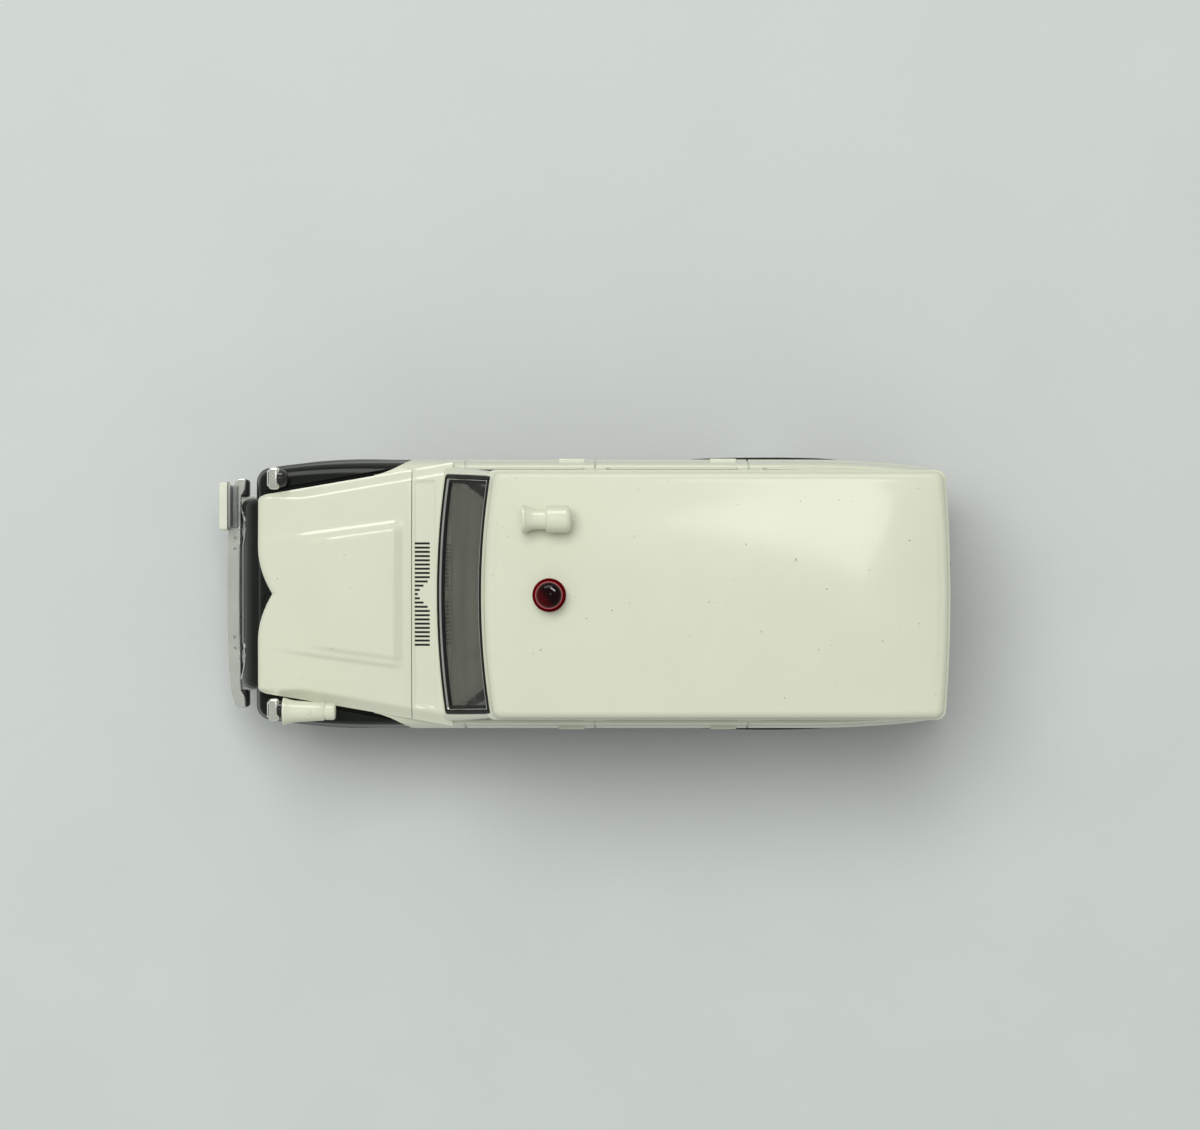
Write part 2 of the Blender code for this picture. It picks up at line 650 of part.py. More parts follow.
lamp_pockets = [
    block(
        f"tail_lamp_pocket_{i}",
        (TAIL_X - TAIL_LAMP_SIZE[0] - FIT, TAIL_X + 1.0e-3),
        (side * TAIL_LAMP_Y - TAIL_LAMP_SIZE[1] / 2 - FIT, side * TAIL_LAMP_Y + TAIL_LAMP_SIZE[1] / 2 + FIT),
        (TAIL_LAMP_Z - FIT, TAIL_LAMP_Z + TAIL_LAMP_SIZE[2] + FIT),
    )
    for i, side in enumerate((-1, 1))
]
iron_z = (BUMPER_Z + 0.6e-3, BUMPER_Z + 1.3e-3)
iron_half = 0.5e-3
front_iron_x = FENDER_FRONT_X + 1.0e-3
rear_iron_x = TAIL_X - 1.5e-3
rear_iron_y = half_width(TAIL_X) - 3.4e-3
sockets = []
for side in (-1, 1):
    for y, x in (
        (side * BUMPER_IRON_Y, (FENDER_FRONT_X - 2.0e-3, front_iron_x + FIT)),
        (side * rear_iron_y, (rear_iron_x - FIT, TAIL_X + 2.0e-3)),
    ):
        sockets.append(
            block(
                f"iron_socket_{len(sockets)}",
                x,
                (y - iron_half - FIT, y + iron_half + FIT),
                (iron_z[0] - FIT, iron_z[1] + FIT),
            )
        )
rear_post_x = TAIL_X - WALL - 4.2e-3
posts = []
for name, x, high in (("front_post", FRONT_POST_X, HOOD_EDGE_Z), ("rear_post", rear_post_x, CREASE_Z)):
    pilot_z = PLATE_TOP_Z + SCREW_REACH + 0.6e-3
    post_profile = [
        (0, high),
        (POST_RADIUS, high),
        (POST_RADIUS, PLATE_TOP_Z + FIT),
        (SCREW_RADIUS + FIT, PLATE_TOP_Z + FIT),
        (SCREW_RADIUS + FIT, pilot_z),
        (0, pilot_z),
    ]
    posts.append(turned(name, post_profile, (x, 0, 0), steps=20))
posts.append(
    block(
        "rear_web",
        (rear_post_x + POST_RADIUS * 0.7, TAIL_X - WALL / 2),
        (-0.6e-3, 0.6e-3),
        (PLATE_TOP_Z + 1.2e-3, CREASE_Z - 0.4e-3),
    )
)
zinc = finish("painted_zinc", (0.8, 0.8, 0.74), 0.3)
combine(under_body, "DIFFERENCE", [nose_core])
body = piece(lower_body, zinc)
body.name = "body_casting"
combine(body, "UNION", [fender_tops, shoulders, nose, hood, hood_bulge, cabin, *flares, *handles])
combine(body, "DIFFERENCE", [under_body, belt_inside, inside, *windows("opening", 0.0), *arches])
combine(body, "DIFFERENCE", [grille_pocket, *peg_holes, *lamp_pockets, *sockets])
combine(body, "UNION", posts)

# Glazing: one clear moulding inside the cabin, whose panes stand into the openings
glazing = cabin_inside("window_glazing", CABIN_WALL + FIT, BELT_Z - 0.3e-3, FIT)
pane_form = cabin_inside("pane_form", PANE_RECESS, BELT_Z - 0.3e-3, -0.2e-3)
pane_core = cabin_inside("pane_core", CABIN_WALL + FIT + GLASS, BELT_Z - 1.0e-3, FIT + GLASS)
panes = windows("pane", FIT)
for pane in panes:
    combine(pane, "INTERSECT", [pane_form])
piece(glazing, finish("clear_glazing", (0.35, 0.36, 0.35), 0.05))
combine(glazing, "UNION", panes)
combine(glazing, "DIFFERENCE", [pane_core])

# Interior tub with its seats, standing on the chassis plate
tub_half = CABIN_HALF_WIDTH - CABIN_WALL - 2 * FIT
tub_front_x = screen_x(BELT_Z) + 2.6e-3
tub_step_x = REAR_AXLE_X - ARCH_RADIUS - 1.2e-3
tub_rear_x = rear_post_x - POST_RADIUS - 0.6e-3
tub_low_z = PLATE_TOP_Z + FIT
tub_deck_z = AXLE_Z + ARCH_RADIUS + 0.3e-3
tub_rim_z = BELT_Z - 0.3e-3 - 2 * FIT
tub_wall = 0.7e-3
tub = prism(
    "interior_tub",
    [
        (tub_front_x, tub_low_z),
        (tub_step_x, tub_low_z),
        (tub_step_x, tub_deck_z),
        (tub_rear_x, tub_deck_z),
        (tub_rear_x, tub_rim_z),
        (tub_front_x, tub_rim_z),
    ],
    -tub_half,
    tub_half,
    "Y",
)
tub_hollow = prism(
    "tub_hollow",
    [
        (tub_front_x + tub_wall, tub_low_z + tub_wall),
        (tub_step_x - tub_wall, tub_low_z + tub_wall),
        (tub_step_x - tub_wall, tub_deck_z + tub_wall),
        (tub_rear_x - tub_wall, tub_deck_z + tub_wall),
        (tub_rear_x - tub_wall, tub_rim_z + 1.0e-3),
        (tub_front_x + tub_wall, tub_rim_z + 1.0e-3),
    ],
    -tub_half + tub_wall,
    tub_half - tub_wall,
    "Y",
)
bulkhead_z = CREASE_Z - 0.1e-3
bulkhead_cut = block(
    "bulkhead_cut",
    (tub_front_x - 1.0e-3, tub_front_x + tub_wall + 0.2e-3),
    (-tub_half - 1.0e-3, tub_half + 1.0e-3),
    (bulkhead_z, tub_rim_z + 1.0e-3),
)
seats = []
for name, front_x, y in (
    ("seat_left", PILLAR_B[0] - 7.2e-3, (-tub_half + 1.6e-3, -1.2e-3)),
    ("seat_right", PILLAR_B[0] - 7.2e-3, (1.2e-3, tub_half - 1.6e-3)),
    ("rear_bench", tub_step_x - 6.6e-3, (-tub_half + 1.4e-3, tub_half - 1.4e-3)),
):
    seats.append(
        prism(
            name,
            [
                (front_x, tub_low_z + 0.3e-3),
                (front_x + 7.0e-3, tub_low_z + 0.3e-3),
                (front_x + 6.9e-3, BELT_Z + 0.6e-3),
                (front_x + 5.5e-3, BELT_Z + 0.5e-3),
                (front_x + 4.6e-3, tub_low_z + 3.1e-3),
                (front_x, tub_low_z + 3.5e-3),
            ],
            y[0],
            y[1],
            "Y",
            0.25e-3,
        )
    )
piece(tub, finish("interior_plastic", (0.12, 0.12, 0.12), 0.6))
combine(tub, "DIFFERENCE", [tub_hollow, bulkhead_cut])
combine(tub, "UNION", seats)

# Dashboard on the bulkhead, and the steering wheel on its column
dash_x = tub_front_x - 1.0e-3
dash = prism(
    "dashboard",
    [
        (dash_x, bulkhead_z + FIT),
        (dash_x + 3.0e-3, bulkhead_z + FIT),
        (dash_x + 3.8e-3, bulkhead_z + 1.6e-3),
        (dash_x + 3.2e-3, tub_rim_z - 0.1e-3),
        (dash_x, tub_rim_z),
    ],
    -tub_half + tub_wall + FIT,
    tub_half - tub_wall - FIT,
    "Y",
    0.2e-3,
)
piece(dash, finish("dashboard_plastic", (0.1, 0.1, 0.1), 0.6))
wheel_turn = (0.0, math.radians(-62), 0.0)
wheel_place = (dash_x + 5.2e-3, tub_half * 0.46, BELT_Z - 1.9e-3)
column_turn = Vector((math.sin(wheel_turn[1]), 0.0, math.cos(wheel_turn[1])))
steering = turned(
    "steering_wheel",
    [(2.1e-3 + u, v) for u, v in arc(0.0, 0.0, 0.28e-3, 90, -210, 5)],
    wheel_place,
    wheel_turn,
    18,
    True,
)
spoke = block("spoke", (-2.1e-3, 2.1e-3), (-0.25e-3, 0.25e-3), (-0.15e-3, 0.15e-3))
boss = rod("wheel_boss", 0.5e-3, -0.25e-3, 0.25e-3, wheel_place, wheel_turn)
column = rod("steering_column", 0.3e-3, 0.0, 1.5e-3, wheel_place, wheel_turn, 10)
spoke.location = wheel_place
spoke.rotation_euler = wheel_turn
cross = block("cross_spoke", (-0.25e-3, 0.25e-3), (-2.1e-3, 2.1e-3), (-0.13e-3, 0.13e-3))
cross.location = wheel_place
cross.rotation_euler = wheel_turn
piece(steering, finish("steering_plastic", (0.03, 0.03, 0.03), 0.5))
combine(steering, "UNION", [spoke, cross, boss, column])

# Chassis plate with axle ears, wheel-well walls, screw bosses and the moulded running gear
plate_wide = BODY_HALF_WIDTH - WALL - 0.25e-3
plate_front_x = FENDER_FRONT_X + WALL + 0.9e-3
plate_rear_x = TAIL_X - WALL - 0.7e-3
well = ARCH_RADIUS + 0.1e-3
right = [
    (plate_front_x, CHASSIS_NARROW),
    (FRONT_AXLE_X + well, CHASSIS_NARROW),
    (FRONT_AXLE_X + well, plate_wide),
    (REAR_AXLE_X - well, plate_wide),
    (REAR_AXLE_X - well, CHASSIS_NARROW),
    (REAR_AXLE_X + well, CHASSIS_NARROW),
    (REAR_AXLE_X + well, half_width(TAIL_X) - WALL - 0.5e-3),
    (plate_rear_x, half_width(TAIL_X) - WALL - 0.9e-3),
]
chassis = prism("chassis_base", [(x, -y) for x, y in right] + right[::-1], PLATE_Z, PLATE_TOP_Z)
extras = []
slots = []
for i, axle_x in enumerate((FRONT_AXLE_X, REAR_AXLE_X)):
    for side in (-1, 1):
        ear = sorted((side * (CHASSIS_NARROW - 0.2e-3), side * (CHASSIS_NARROW - 0.2e-3 - EAR_THICKNESS)))
        extras.append(
            prism(
                f"ear_{len(extras)}",
                rounded(
                    [
                        (axle_x - EAR_HALF_LENGTH, AXLE_Z - 2 * AXLE_RADIUS, 0.5e-3),
                        (axle_x + EAR_HALF_LENGTH, AXLE_Z - 2 * AXLE_RADIUS, 0.5e-3),
                        (axle_x + EAR_HALF_LENGTH, PLATE_Z + 0.3e-3, 0),
                        (axle_x - EAR_HALF_LENGTH, PLATE_Z + 0.3e-3, 0),
                    ]
                ),
                ear[0],
                ear[1],
                "Y",
            )
        )
        wall = sorted((side * (CHASSIS_NARROW - 0.1e-3), side * (CHASSIS_NARROW - 0.1e-3 - WELL_WALL)))
        extras.append(
            block(
                f"well_wall_{len(extras)}",
                (max(axle_x - well, plate_front_x + 0.1e-3), axle_x + well - 0.1e-3),
                wall,
                (PLATE_Z + 0.2e-3, AXLE_Z + ARCH_RADIUS),
            )
        )
    gap = AXLE_RADIUS + RUNNING
    slots.append(
        prism(
            f"axle_slot_{i}",
            arc(axle_x, AXLE_Z + AXLE_TRAVEL, gap, 0, 180, 8) + arc(axle_x, AXLE_Z, gap, 180, 360, 8),
            -CHASSIS_NARROW,
            CHASSIS_NARROW,
            "Y",
        )
    )
for i, x in enumerate((FRONT_POST_X, rear_post_x)):
    boss_low = PLATE_Z - 1.0e-3
    extras.append(rod(f"screw_boss_{i}", POST_RADIUS + 0.4e-3, boss_low, PLATE_Z + 0.3e-3, (x, 0, 0), steps=20))
    hole_profile = [
        (0, PLATE_TOP_Z + SINK),
        (SCREW_RADIUS + FIT, PLATE_TOP_Z + SINK),
        (SCREW_RADIUS + FIT, PLATE_Z + 0.02e-3),
        (SCREW_HEAD_RADIUS + FIT, PLATE_Z + 0.02e-3),
        (SCREW_HEAD_RADIUS + FIT, boss_low - SINK),
        (0, boss_low - SINK),
    ]
    slots.append(turned(f"screw_hole_{i}", hole_profile, (x, 0, 0), steps=20))
rail_low = PLATE_Z - 0.9e-3
clear = EAR_HALF_LENGTH + 0.3e-3
rail_runs = (
    (plate_front_x + 0.4e-3, FRONT_AXLE_X - clear),
    (FRONT_AXLE_X + clear, REAR_AXLE_X - clear),
    (REAR_AXLE_X + clear, plate_rear_x - 0.4e-3),
)
for run in rail_runs:
    for side in (-1, 1):
        rail = sorted((side * 4.4e-3, side * 5.6e-3))
        extras.append(block(f"rail_{len(extras)}", run, rail, (rail_low, PLATE_Z + 0.3e-3)))
mid_x = FRONT_AXLE_X + WHEEL_BASE * 0.42
extras.append(
    block("gearbox", (mid_x - 4.0e-3, mid_x + 4.0e-3), (-2.4e-3, 2.4e-3), (PLATE_Z - 1.8e-3, PLATE_Z + 0.3e-3))
)
extras.append(
    rod("rear_shaft", 0.7e-3, mid_x + 3.5e-3, REAR_AXLE_X - clear, (0, 0.4e-3, PLATE_Z - 0.2e-3), ALONG_X, 12)
)
extras.append(
    block(
        "fuel_tank",
        (REAR_AXLE_X + clear + 1.6e-3, rear_post_x - POST_RADIUS - 0.8e-3),
        (-3.6e-3, 3.6e-3),
        (PLATE_Z - 1.5e-3, PLATE_Z + 0.3e-3),
    )
)
extras.append(rod("silencer", 1.0e-3, mid_x + 6.0e-3, mid_x + 12.0e-3, (0, 7.6e-3, PLATE_Z - 0.4e-3), ALONG_X, 12))
piece(chassis, finish("chassis_plastic", (0.02, 0.02, 0.02), 0.5))
combine(chassis, "UNION", extras)
combine(chassis, "DIFFERENCE", slots)

# Screws up through the chassis into the casting's posts
steel = finish("screw_steel", (0.5, 0.5, 0.5), 0.35, 1.0)
head_low = PLATE_Z - FIT - SCREW_HEAD
for name, x in (("chassis_screw_front", FRONT_POST_X), ("chassis_screw_rear", rear_post_x)):
    profile = [
        (0, PLATE_TOP_Z + SCREW_REACH),
        (SCREW_RADIUS * 0.7, PLATE_TOP_Z + SCREW_REACH),
        (SCREW_RADIUS, PLATE_TOP_Z + SCREW_REACH - 0.5e-3),
        (SCREW_RADIUS, PLATE_Z - FIT),
        (SCREW_HEAD_RADIUS, PLATE_Z - FIT),
        (SCREW_HEAD_RADIUS, head_low + 0.2e-3),
        (SCREW_HEAD_RADIUS * 0.7, head_low),
        (0, head_low),
    ]
    piece(turned(name, profile, (x, 0, 0), steps=20), steel)

# Axles with upset heads, and on each end a rim with its tyre
axle_steel = finish("axle_steel", (0.6, 0.6, 0.6), 0.3, 1.0)
rim_paint = finish("rim_plating", (0.75, 0.75, 0.72), 0.25, 0.8)
rubber = finish("tyre_rubber", (0.02, 0.02, 0.02), 0.8)
spring_steel = finish("spring_steel", (0.5, 0.5, 0.5), 0.4, 1.0)
rim_face = RIM_WIDTH / 2
axle_end = TRACK / 2 + rim_face - 0.4e-3
for end, axle_x in (("front", FRONT_AXLE_X), ("rear", REAR_AXLE_X)):
    line = bpy.data.objects.new(f"{end}_axle_line", None)
    line.location = (axle_x, 0, AXLE_Z)
    PARTS.objects.link(line)
    bpy.context.view_layer.update()
    half = [
        (0, axle_end + AXLE_HEAD),
        (AXLE_HEAD_RADIUS * 0.6, axle_end + AXLE_HEAD),
        (AXLE_HEAD_RADIUS, axle_end + AXLE_HEAD * 0.5),
        (AXLE_HEAD_RADIUS, axle_end),
        (AXLE_RADIUS, axle_end),
    ]
    profile = half + [(radius, -height) for radius, height in half[::-1]]
    axle = turned(f"{end}_axle", profile, (axle_x, 0, AXLE_Z), ALONG_Y, 16)
    piece(axle, axle_steel, line)
    for side, turn in (("right", -1), ("left", 1)):
        place = (axle_x, -turn * TRACK / 2, AXLE_Z)
        lean = (turn * math.pi / 2, 0, 0)
        bore = AXLE_RADIUS + RUNNING
        head_seat = axle_end - TRACK / 2 - RUNNING
        seat_radius = AXLE_HEAD_RADIUS + FIT
        bead = RIM_RADIUS - 0.45e-3
        rim_profile = [
            (RIM_RADIUS - 0.35e-3, rim_face),
            (RIM_RADIUS, rim_face),
            (RIM_RADIUS, rim_face - 0.3e-3),
            (bead, rim_face - 0.45e-3),
            (bead, -rim_face + 0.45e-3),
            (RIM_RADIUS, -rim_face + 0.3e-3),
            (RIM_RADIUS, -rim_face),
            (RIM_RADIUS - 0.7e-3, -rim_face),
            (RIM_RADIUS - 0.9e-3, -rim_face + 0.9e-3),
            (bore + 0.7e-3, -rim_face + 0.9e-3),
            (bore + 0.5e-3, -rim_face - 0.3e-3),
            (bore, -rim_face - 0.3e-3),
            (bore, head_seat),
            (seat_radius, head_seat),
            (seat_radius, rim_face - 0.1e-3),
            (seat_radius + 0.35e-3, rim_face - 0.15e-3),
            (seat_radius + 0.7e-3, rim_face - 0.6e-3),
            (RIM_RADIUS - 0.8e-3, rim_face - 0.6e-3),
        ]
        rim = turned(f"rim_{end}_{side}", rim_profile, place, lean, 18, True)
        piece(rim, rim_paint, line)
        half_tyre = TYRE_WIDTH / 2
        lip = rim_face - 0.45e-3 - 0.06e-3
        tyre_profile = [
            (TYRE_RADIUS - 0.45e-3, half_tyre - 0.05e-3),
            (TYRE_RADIUS, half_tyre - 0.55e-3),
            (TYRE_RADIUS, -half_tyre + 0.55e-3),
            (TYRE_RADIUS - 0.45e-3, -half_tyre + 0.05e-3),
            (TYRE_RADIUS - 1.2e-3, -half_tyre),
            (RIM_RADIUS + RUNNING, -rim_face - 0.05e-3),
            (RIM_RADIUS + RUNNING, -lip - 0.15e-3),
            (bead + RUNNING, -lip),
            (bead + RUNNING, lip),
            (RIM_RADIUS + RUNNING, lip + 0.15e-3),
            (RIM_RADIUS + RUNNING, rim_face + 0.05e-3),
            (TYRE_RADIUS - 1.2e-3, half_tyre),
        ]
        tyre = turned(f"tyre_{end}_{side}", tyre_profile, place, lean, 28, True)
        piece(tyre, rubber, line)
    strip_half = CHASSIS_NARROW - 0.2e-3 - EAR_THICKNESS - 0.4e-3
    strip_low = AXLE_Z + AXLE_RADIUS + FIT
    strip_high = PLATE_Z - FIT - STRIP_THICKNESS
    bow = [(share * strip_half, strip_low + (strip_high - strip_low) * share**2) for share in
           (-1.0, -0.75, -0.5, -0.25, 0.0, 0.25, 0.5, 0.75, 1.0)]
    strip = prism(
        f"{end}_leaf_strip",
        bow + [(y, z + STRIP_THICKNESS) for y, z in bow[::-1]],
        axle_x - STRIP_WIDTH / 2,
        axle_x + STRIP_WIDTH / 2,
        "X",
    )
    piece(strip, spring_steel)

# Front bumper on two irons, with the bracket and blank plate on top of it
chrome = finish("bumper_plating", (0.75, 0.76, 0.74), 0.15, 1.0)
bumper_rear_x = BUMPER_FRONT_X + BUMPER_DEPTH
sweep = [
    (BUMPER_FRONT_X, 0.0),
    (BUMPER_FRONT_X + 0.07e-3, 0.43),
    (BUMPER_FRONT_X + 0.36e-3, 0.82),
    (BUMPER_FRONT_X + 0.66e-3, 0.93),
    (BUMPER_FRONT_X + 1.15e-3, 1.0),
    (BUMPER_FRONT_X + 2.1e-3, 1.0),
    (BUMPER_FRONT_X + 2.1e-3, 0.94),
    (bumper_rear_x, 0.87),
    (bumper_rear_x - 0.05e-3, 0.43),
    (bumper_rear_x - 0.1e-3, 0.0),
]
outline = [(x, share * BUMPER_HALF_WIDTH) for x, share in sweep]
outline += [(x, -y) for x, y in outline[-2:0:-1]]
bumper_top_z = BUMPER_Z + BUMPER_HEIGHT
bumper = prism("front_bumper", outline, BUMPER_Z, bumper_top_z, "Z", 0.2e-3)
irons = [
    block(
        f"bumper_iron_{i}",
        (bumper_rear_x - 0.4e-3, front_iron_x),
        (side * BUMPER_IRON_Y - iron_half, side * BUMPER_IRON_Y + iron_half),
        iron_z,
    )
    for i, side in enumerate((-1, 1))
]
piece(bumper, chrome)
combine(bumper, "UNION", irons)
bracket_foot_z = bumper_top_z + FIT
plate_back_x = BUMPER_FRONT_X - 0.5e-3 + PLATE_SIZE[0]
bracket = prism(
    "plate_bracket",
    [
        (plate_back_x + FIT, bracket_foot_z),
        (bumper_rear_x - 0.15e-3, bracket_foot_z),
        (bumper_rear_x - 0.15e-3, bracket_foot_z + 0.35e-3),
        (plate_back_x + FIT + 0.45e-3, bracket_foot_z + 0.6e-3),
        (plate_back_x + FIT + 0.4e-3, bracket_foot_z + PLATE_SIZE[2] * 0.85),
        (plate_back_x + FIT, bracket_foot_z + PLATE_SIZE[2] * 0.85),
    ],
    PLATE_Y - PLATE_SIZE[1] * 0.44,
    PLATE_Y + PLATE_SIZE[1] * 0.44,
    "Y",
)
piece(bracket, chrome)
plate = block(
    "front_plate",
    (plate_back_x - PLATE_SIZE[0], plate_back_x),
    (PLATE_Y - PLATE_SIZE[1] / 2, PLATE_Y + PLATE_SIZE[1] / 2),
    (bracket_foot_z, bracket_foot_z + PLATE_SIZE[2]),
    0.1e-3,
)
plate_white = finish("plate_white", (0.8, 0.8, 0.78), 0.4)
piece(plate, plate_white)

# Grille insert with its bars, and the two headlamp lenses
grille_front_x = grille_back_x - FIT - GRILLE_DEPTH
grille = prism("grille_insert", dog_bone(FIT), grille_front_x, grille_back_x - FIT, "X")
lamp_seats = [
    rod(f"lamp_seat_{i}", LAMP_RADIUS + FIT, grille_front_x - SINK, grille_front_x + 0.35e-3,
        (0, side * LAMP_Y, LAMP_Z), ALONG_X, 24)
    for i, side in enumerate((-1, 1))
]
bar_reach = LAMP_Y - LAMP_POCKET - 0.5e-3
bars = [
    block(
        f"grille_gap_{i}",
        (grille_front_x - SINK, grille_front_x + 0.3e-3),
        (-bar_reach, bar_reach),
        (LAMP_Z + row * 0.62e-3 - 0.17e-3, LAMP_Z + row * 0.62e-3 + 0.17e-3),
    )
    for i, row in enumerate((-1.5, -0.5, 0.5, 1.5))
]
piece(grille, finish("grille_plating", (0.55, 0.56, 0.55), 0.3, 0.9))
combine(grille, "DIFFERENCE", lamp_seats + bars)
lens_clear = finish("lamp_clear", (0.8, 0.82, 0.82), 0.08)
for name, side in (("headlamp_lens_left", -1), ("headlamp_lens_right", 1)):
    lens_profile = [
        (0, 0.0),
        (LAMP_RADIUS, 0.0),
        (LAMP_RADIUS, -0.35e-3),
        (LAMP_RADIUS * 0.75, -0.55e-3),
        (LAMP_RADIUS * 0.4, -0.66e-3),
        (0, -0.7e-3),
    ]
    lens = turned(name, lens_profile, (grille_front_x + 0.25e-3, side * LAMP_Y, LAMP_Z), ALONG_X, 24)
    piece(lens, lens_clear)

# Turn signals on the fender tops
signal_finish = finish("signal_plating", (0.6, 0.61, 0.6), 0.25, 0.9)
signal_low = FENDER_TOP_Z + FIT
for name, side in (("turn_signal_left", -1), ("turn_signal_right", 1)):
    y = side * SIGNAL_Y
    rear_x = SIGNAL_X + SIGNAL_SIZE[0]
    signal = block(
        name,
        (SIGNAL_X, rear_x),
        (y - SIGNAL_SIZE[1] / 2, y + SIGNAL_SIZE[1] / 2),
        (signal_low, signal_low + SIGNAL_SIZE[2]),
        0.25e-3,
    )
    tail = rod(
        f"{name}_tail",
        0.7e-3,
        signal_low + 0.02e-3,
        signal_low + SIGNAL_SIZE[2] * 0.6,
        (rear_x, y, 0),
        steps=16,
    )
    peg_x = SIGNAL_X + SIGNAL_SIZE[0] / 2 + 0.2e-3
    peg = rod(f"{name}_peg", PEG_RADIUS, signal_low - PEG_LENGTH, signal_low + 0.3e-3, (peg_x, y, 0), steps=12)
    piece(signal, signal_finish)
    combine(signal, "UNION", [tail, peg])

# Siren horns: one on the left fender, one on the roof
horn_white = finish("siren_white", (0.78, 0.78, 0.72), 0.35)
horn_z = FENDER_TOP_Z + SIGNAL_SIZE[2] * 0.6 + HORN_RADIUS + 0.5e-3
long = FENDER_HORN_LENGTH
fender_horn = turned(
    "fender_siren",
    [
        (0, long),
        (HORN_RADIUS * 0.45, long),
        (HORN_RADIUS * 0.57, long * 0.95),
        (HORN_RADIUS * 0.57, long * 0.82),
        (HORN_RADIUS * 0.63, long * 0.8),
        (HORN_RADIUS * 0.78, long * 0.2),
        (HORN_RADIUS, long * 0.06),
        (HORN_RADIUS, 0.0),
        (HORN_RADIUS * 0.86, 0.0),
        (HORN_RADIUS * 0.5, long * 0.16),
        (0, long * 0.16),
    ],
    (FENDER_HORN_X, FENDER_HORN_Y, horn_z),
    ALONG_X,
    18,
)
foot_x = FENDER_HORN_X + long * 0.5
fender_foot = block(
    "fender_siren_foot",
    (foot_x - 0.9e-3, foot_x + 0.9e-3),
    (FENDER_HORN_Y - 0.6e-3, FENDER_HORN_Y + 0.6e-3),
    (FENDER_TOP_Z + FIT, horn_z),
)
fender_peg = rod(
    "fender_siren_peg", PEG_RADIUS, FENDER_TOP_Z - PEG_LENGTH, FENDER_TOP_Z + 0.5e-3,
    (foot_x, FENDER_HORN_Y, 0), steps=12,
)
piece(fender_horn, horn_white)
combine(fender_horn, "UNION", [fender_foot, fender_peg])


def roof_z(y):
    """Height of the roof's crown near the beacon."""
    return roof_top_z + ROOF_CROWN * (1 - (y / (ROOF_HALF_WIDTH - ROOF_RADIUS)) ** 2)


long = ROOF_HORN_LENGTH
roof_foot_z = roof_z(ROOF_HORN_Y - 0.8e-3) + FIT
roof_horn_z = roof_foot_z + HORN_RADIUS + 0.25e-3
roof_horn = turned(
    "roof_siren",
    [
        (0, long),
        (HORN_RADIUS * 0.5, long),
        (HORN_RADIUS * 0.82, long * 0.94),
        (HORN_RADIUS * 0.96, long * 0.84),
        (HORN_RADIUS * 0.96, long * 0.47),
        (HORN_RADIUS * 0.7, long * 0.46),
        (HORN_RADIUS * 0.72, long * 0.22),
        (HORN_RADIUS, long * 0.06),
        (HORN_RADIUS, 0.0),
        (HORN_RADIUS * 0.86, 0.0),
        (HORN_RADIUS * 0.5, long * 0.2),
        (0, long * 0.2),
    ],
    (ROOF_HORN_X, ROOF_HORN_Y, roof_horn_z),
    ALONG_X,
    18,
)
foot_x = ROOF_HORN_X + long * 0.6
roof_foot = block(
    "roof_siren_foot",
    (foot_x - 0.8e-3, foot_x + 0.8e-3),
    (ROOF_HORN_Y - 0.7e-3, ROOF_HORN_Y + 0.7e-3),
    (roof_foot_z, roof_horn_z),
)
roof_peg = rod(
    "roof_siren_peg", PEG_RADIUS, roof_foot_z - PEG_LENGTH, roof_horn_z - 0.3e-3,
    (foot_x, ROOF_HORN_Y, 0), steps=12,
)
piece(roof_horn, horn_white)
combine(roof_horn, "UNION", [roof_foot, roof_peg])

# Beacon on the roof's middle line
base_z = beacon_seat_z + FIT
beacon = turned(
    "beacon_lens",
    [
        (0, BEACON_HEIGHT),
        (BEACON_RADIUS * 0.45, BEACON_HEIGHT - 0.06e-3),
        (BEACON_RADIUS * 0.7, BEACON_HEIGHT - 0.22e-3),
        (BEACON_RADIUS * 0.84, BEACON_HEIGHT - 0.6e-3),
        (BEACON_RADIUS * 0.94, 0.45e-3),
        (BEACON_RADIUS, 0.4e-3),
        (BEACON_RADIUS, 0.0),
        (PEG_RADIUS, 0.0),
        (PEG_RADIUS, -PEG_LENGTH),
        (0, -PEG_LENGTH),
    ],
    (BEACON_X, 0, base_z),
    steps=24,
)
piece(beacon, finish("beacon_red", (0.35, 0.02, 0.02), 0.1))

# Tail: quarter bumpers, lamps, blank plate and handle
tail_face_x = TAIL_X - 0.15e-3
rear_bumper_x = (TAIL_X - 0.2e-3, TAIL_X + 1.0e-3)
lamp_red = finish("tail_lamp_red", (0.4, 0.03, 0.03), 0.15)
for name, side in (("rear_bumper_left", -1), ("rear_bumper_right", 1)):
    outer = half_width(TAIL_X) - 0.7e-3
    y = sorted((side * outer, side * (outer - REAR_BUMPER_WIDTH)))
    quarter = block(name, rear_bumper_x, y, (BUMPER_Z, BUMPER_Z + BUMPER_HEIGHT * 0.8), 0.25e-3)
    y = side * rear_iron_y
    iron = block(f"{name}_iron", (rear_iron_x, TAIL_X + 0.4e-3), (y - iron_half, y + iron_half), iron_z)
    piece(quarter, chrome)
    combine(quarter, "UNION", [iron])
for name, side in (("tail_lamp_left", -1), ("tail_lamp_right", 1)):
    y = side * TAIL_LAMP_Y
    lamp = block(
        name,
        (TAIL_X - TAIL_LAMP_SIZE[0], TAIL_X + 0.1e-3),
        (y - TAIL_LAMP_SIZE[1] / 2, y + TAIL_LAMP_SIZE[1] / 2),
        (TAIL_LAMP_Z, TAIL_LAMP_Z + TAIL_LAMP_SIZE[2]),
        0.15e-3,
    )
    piece(lamp, lamp_red)
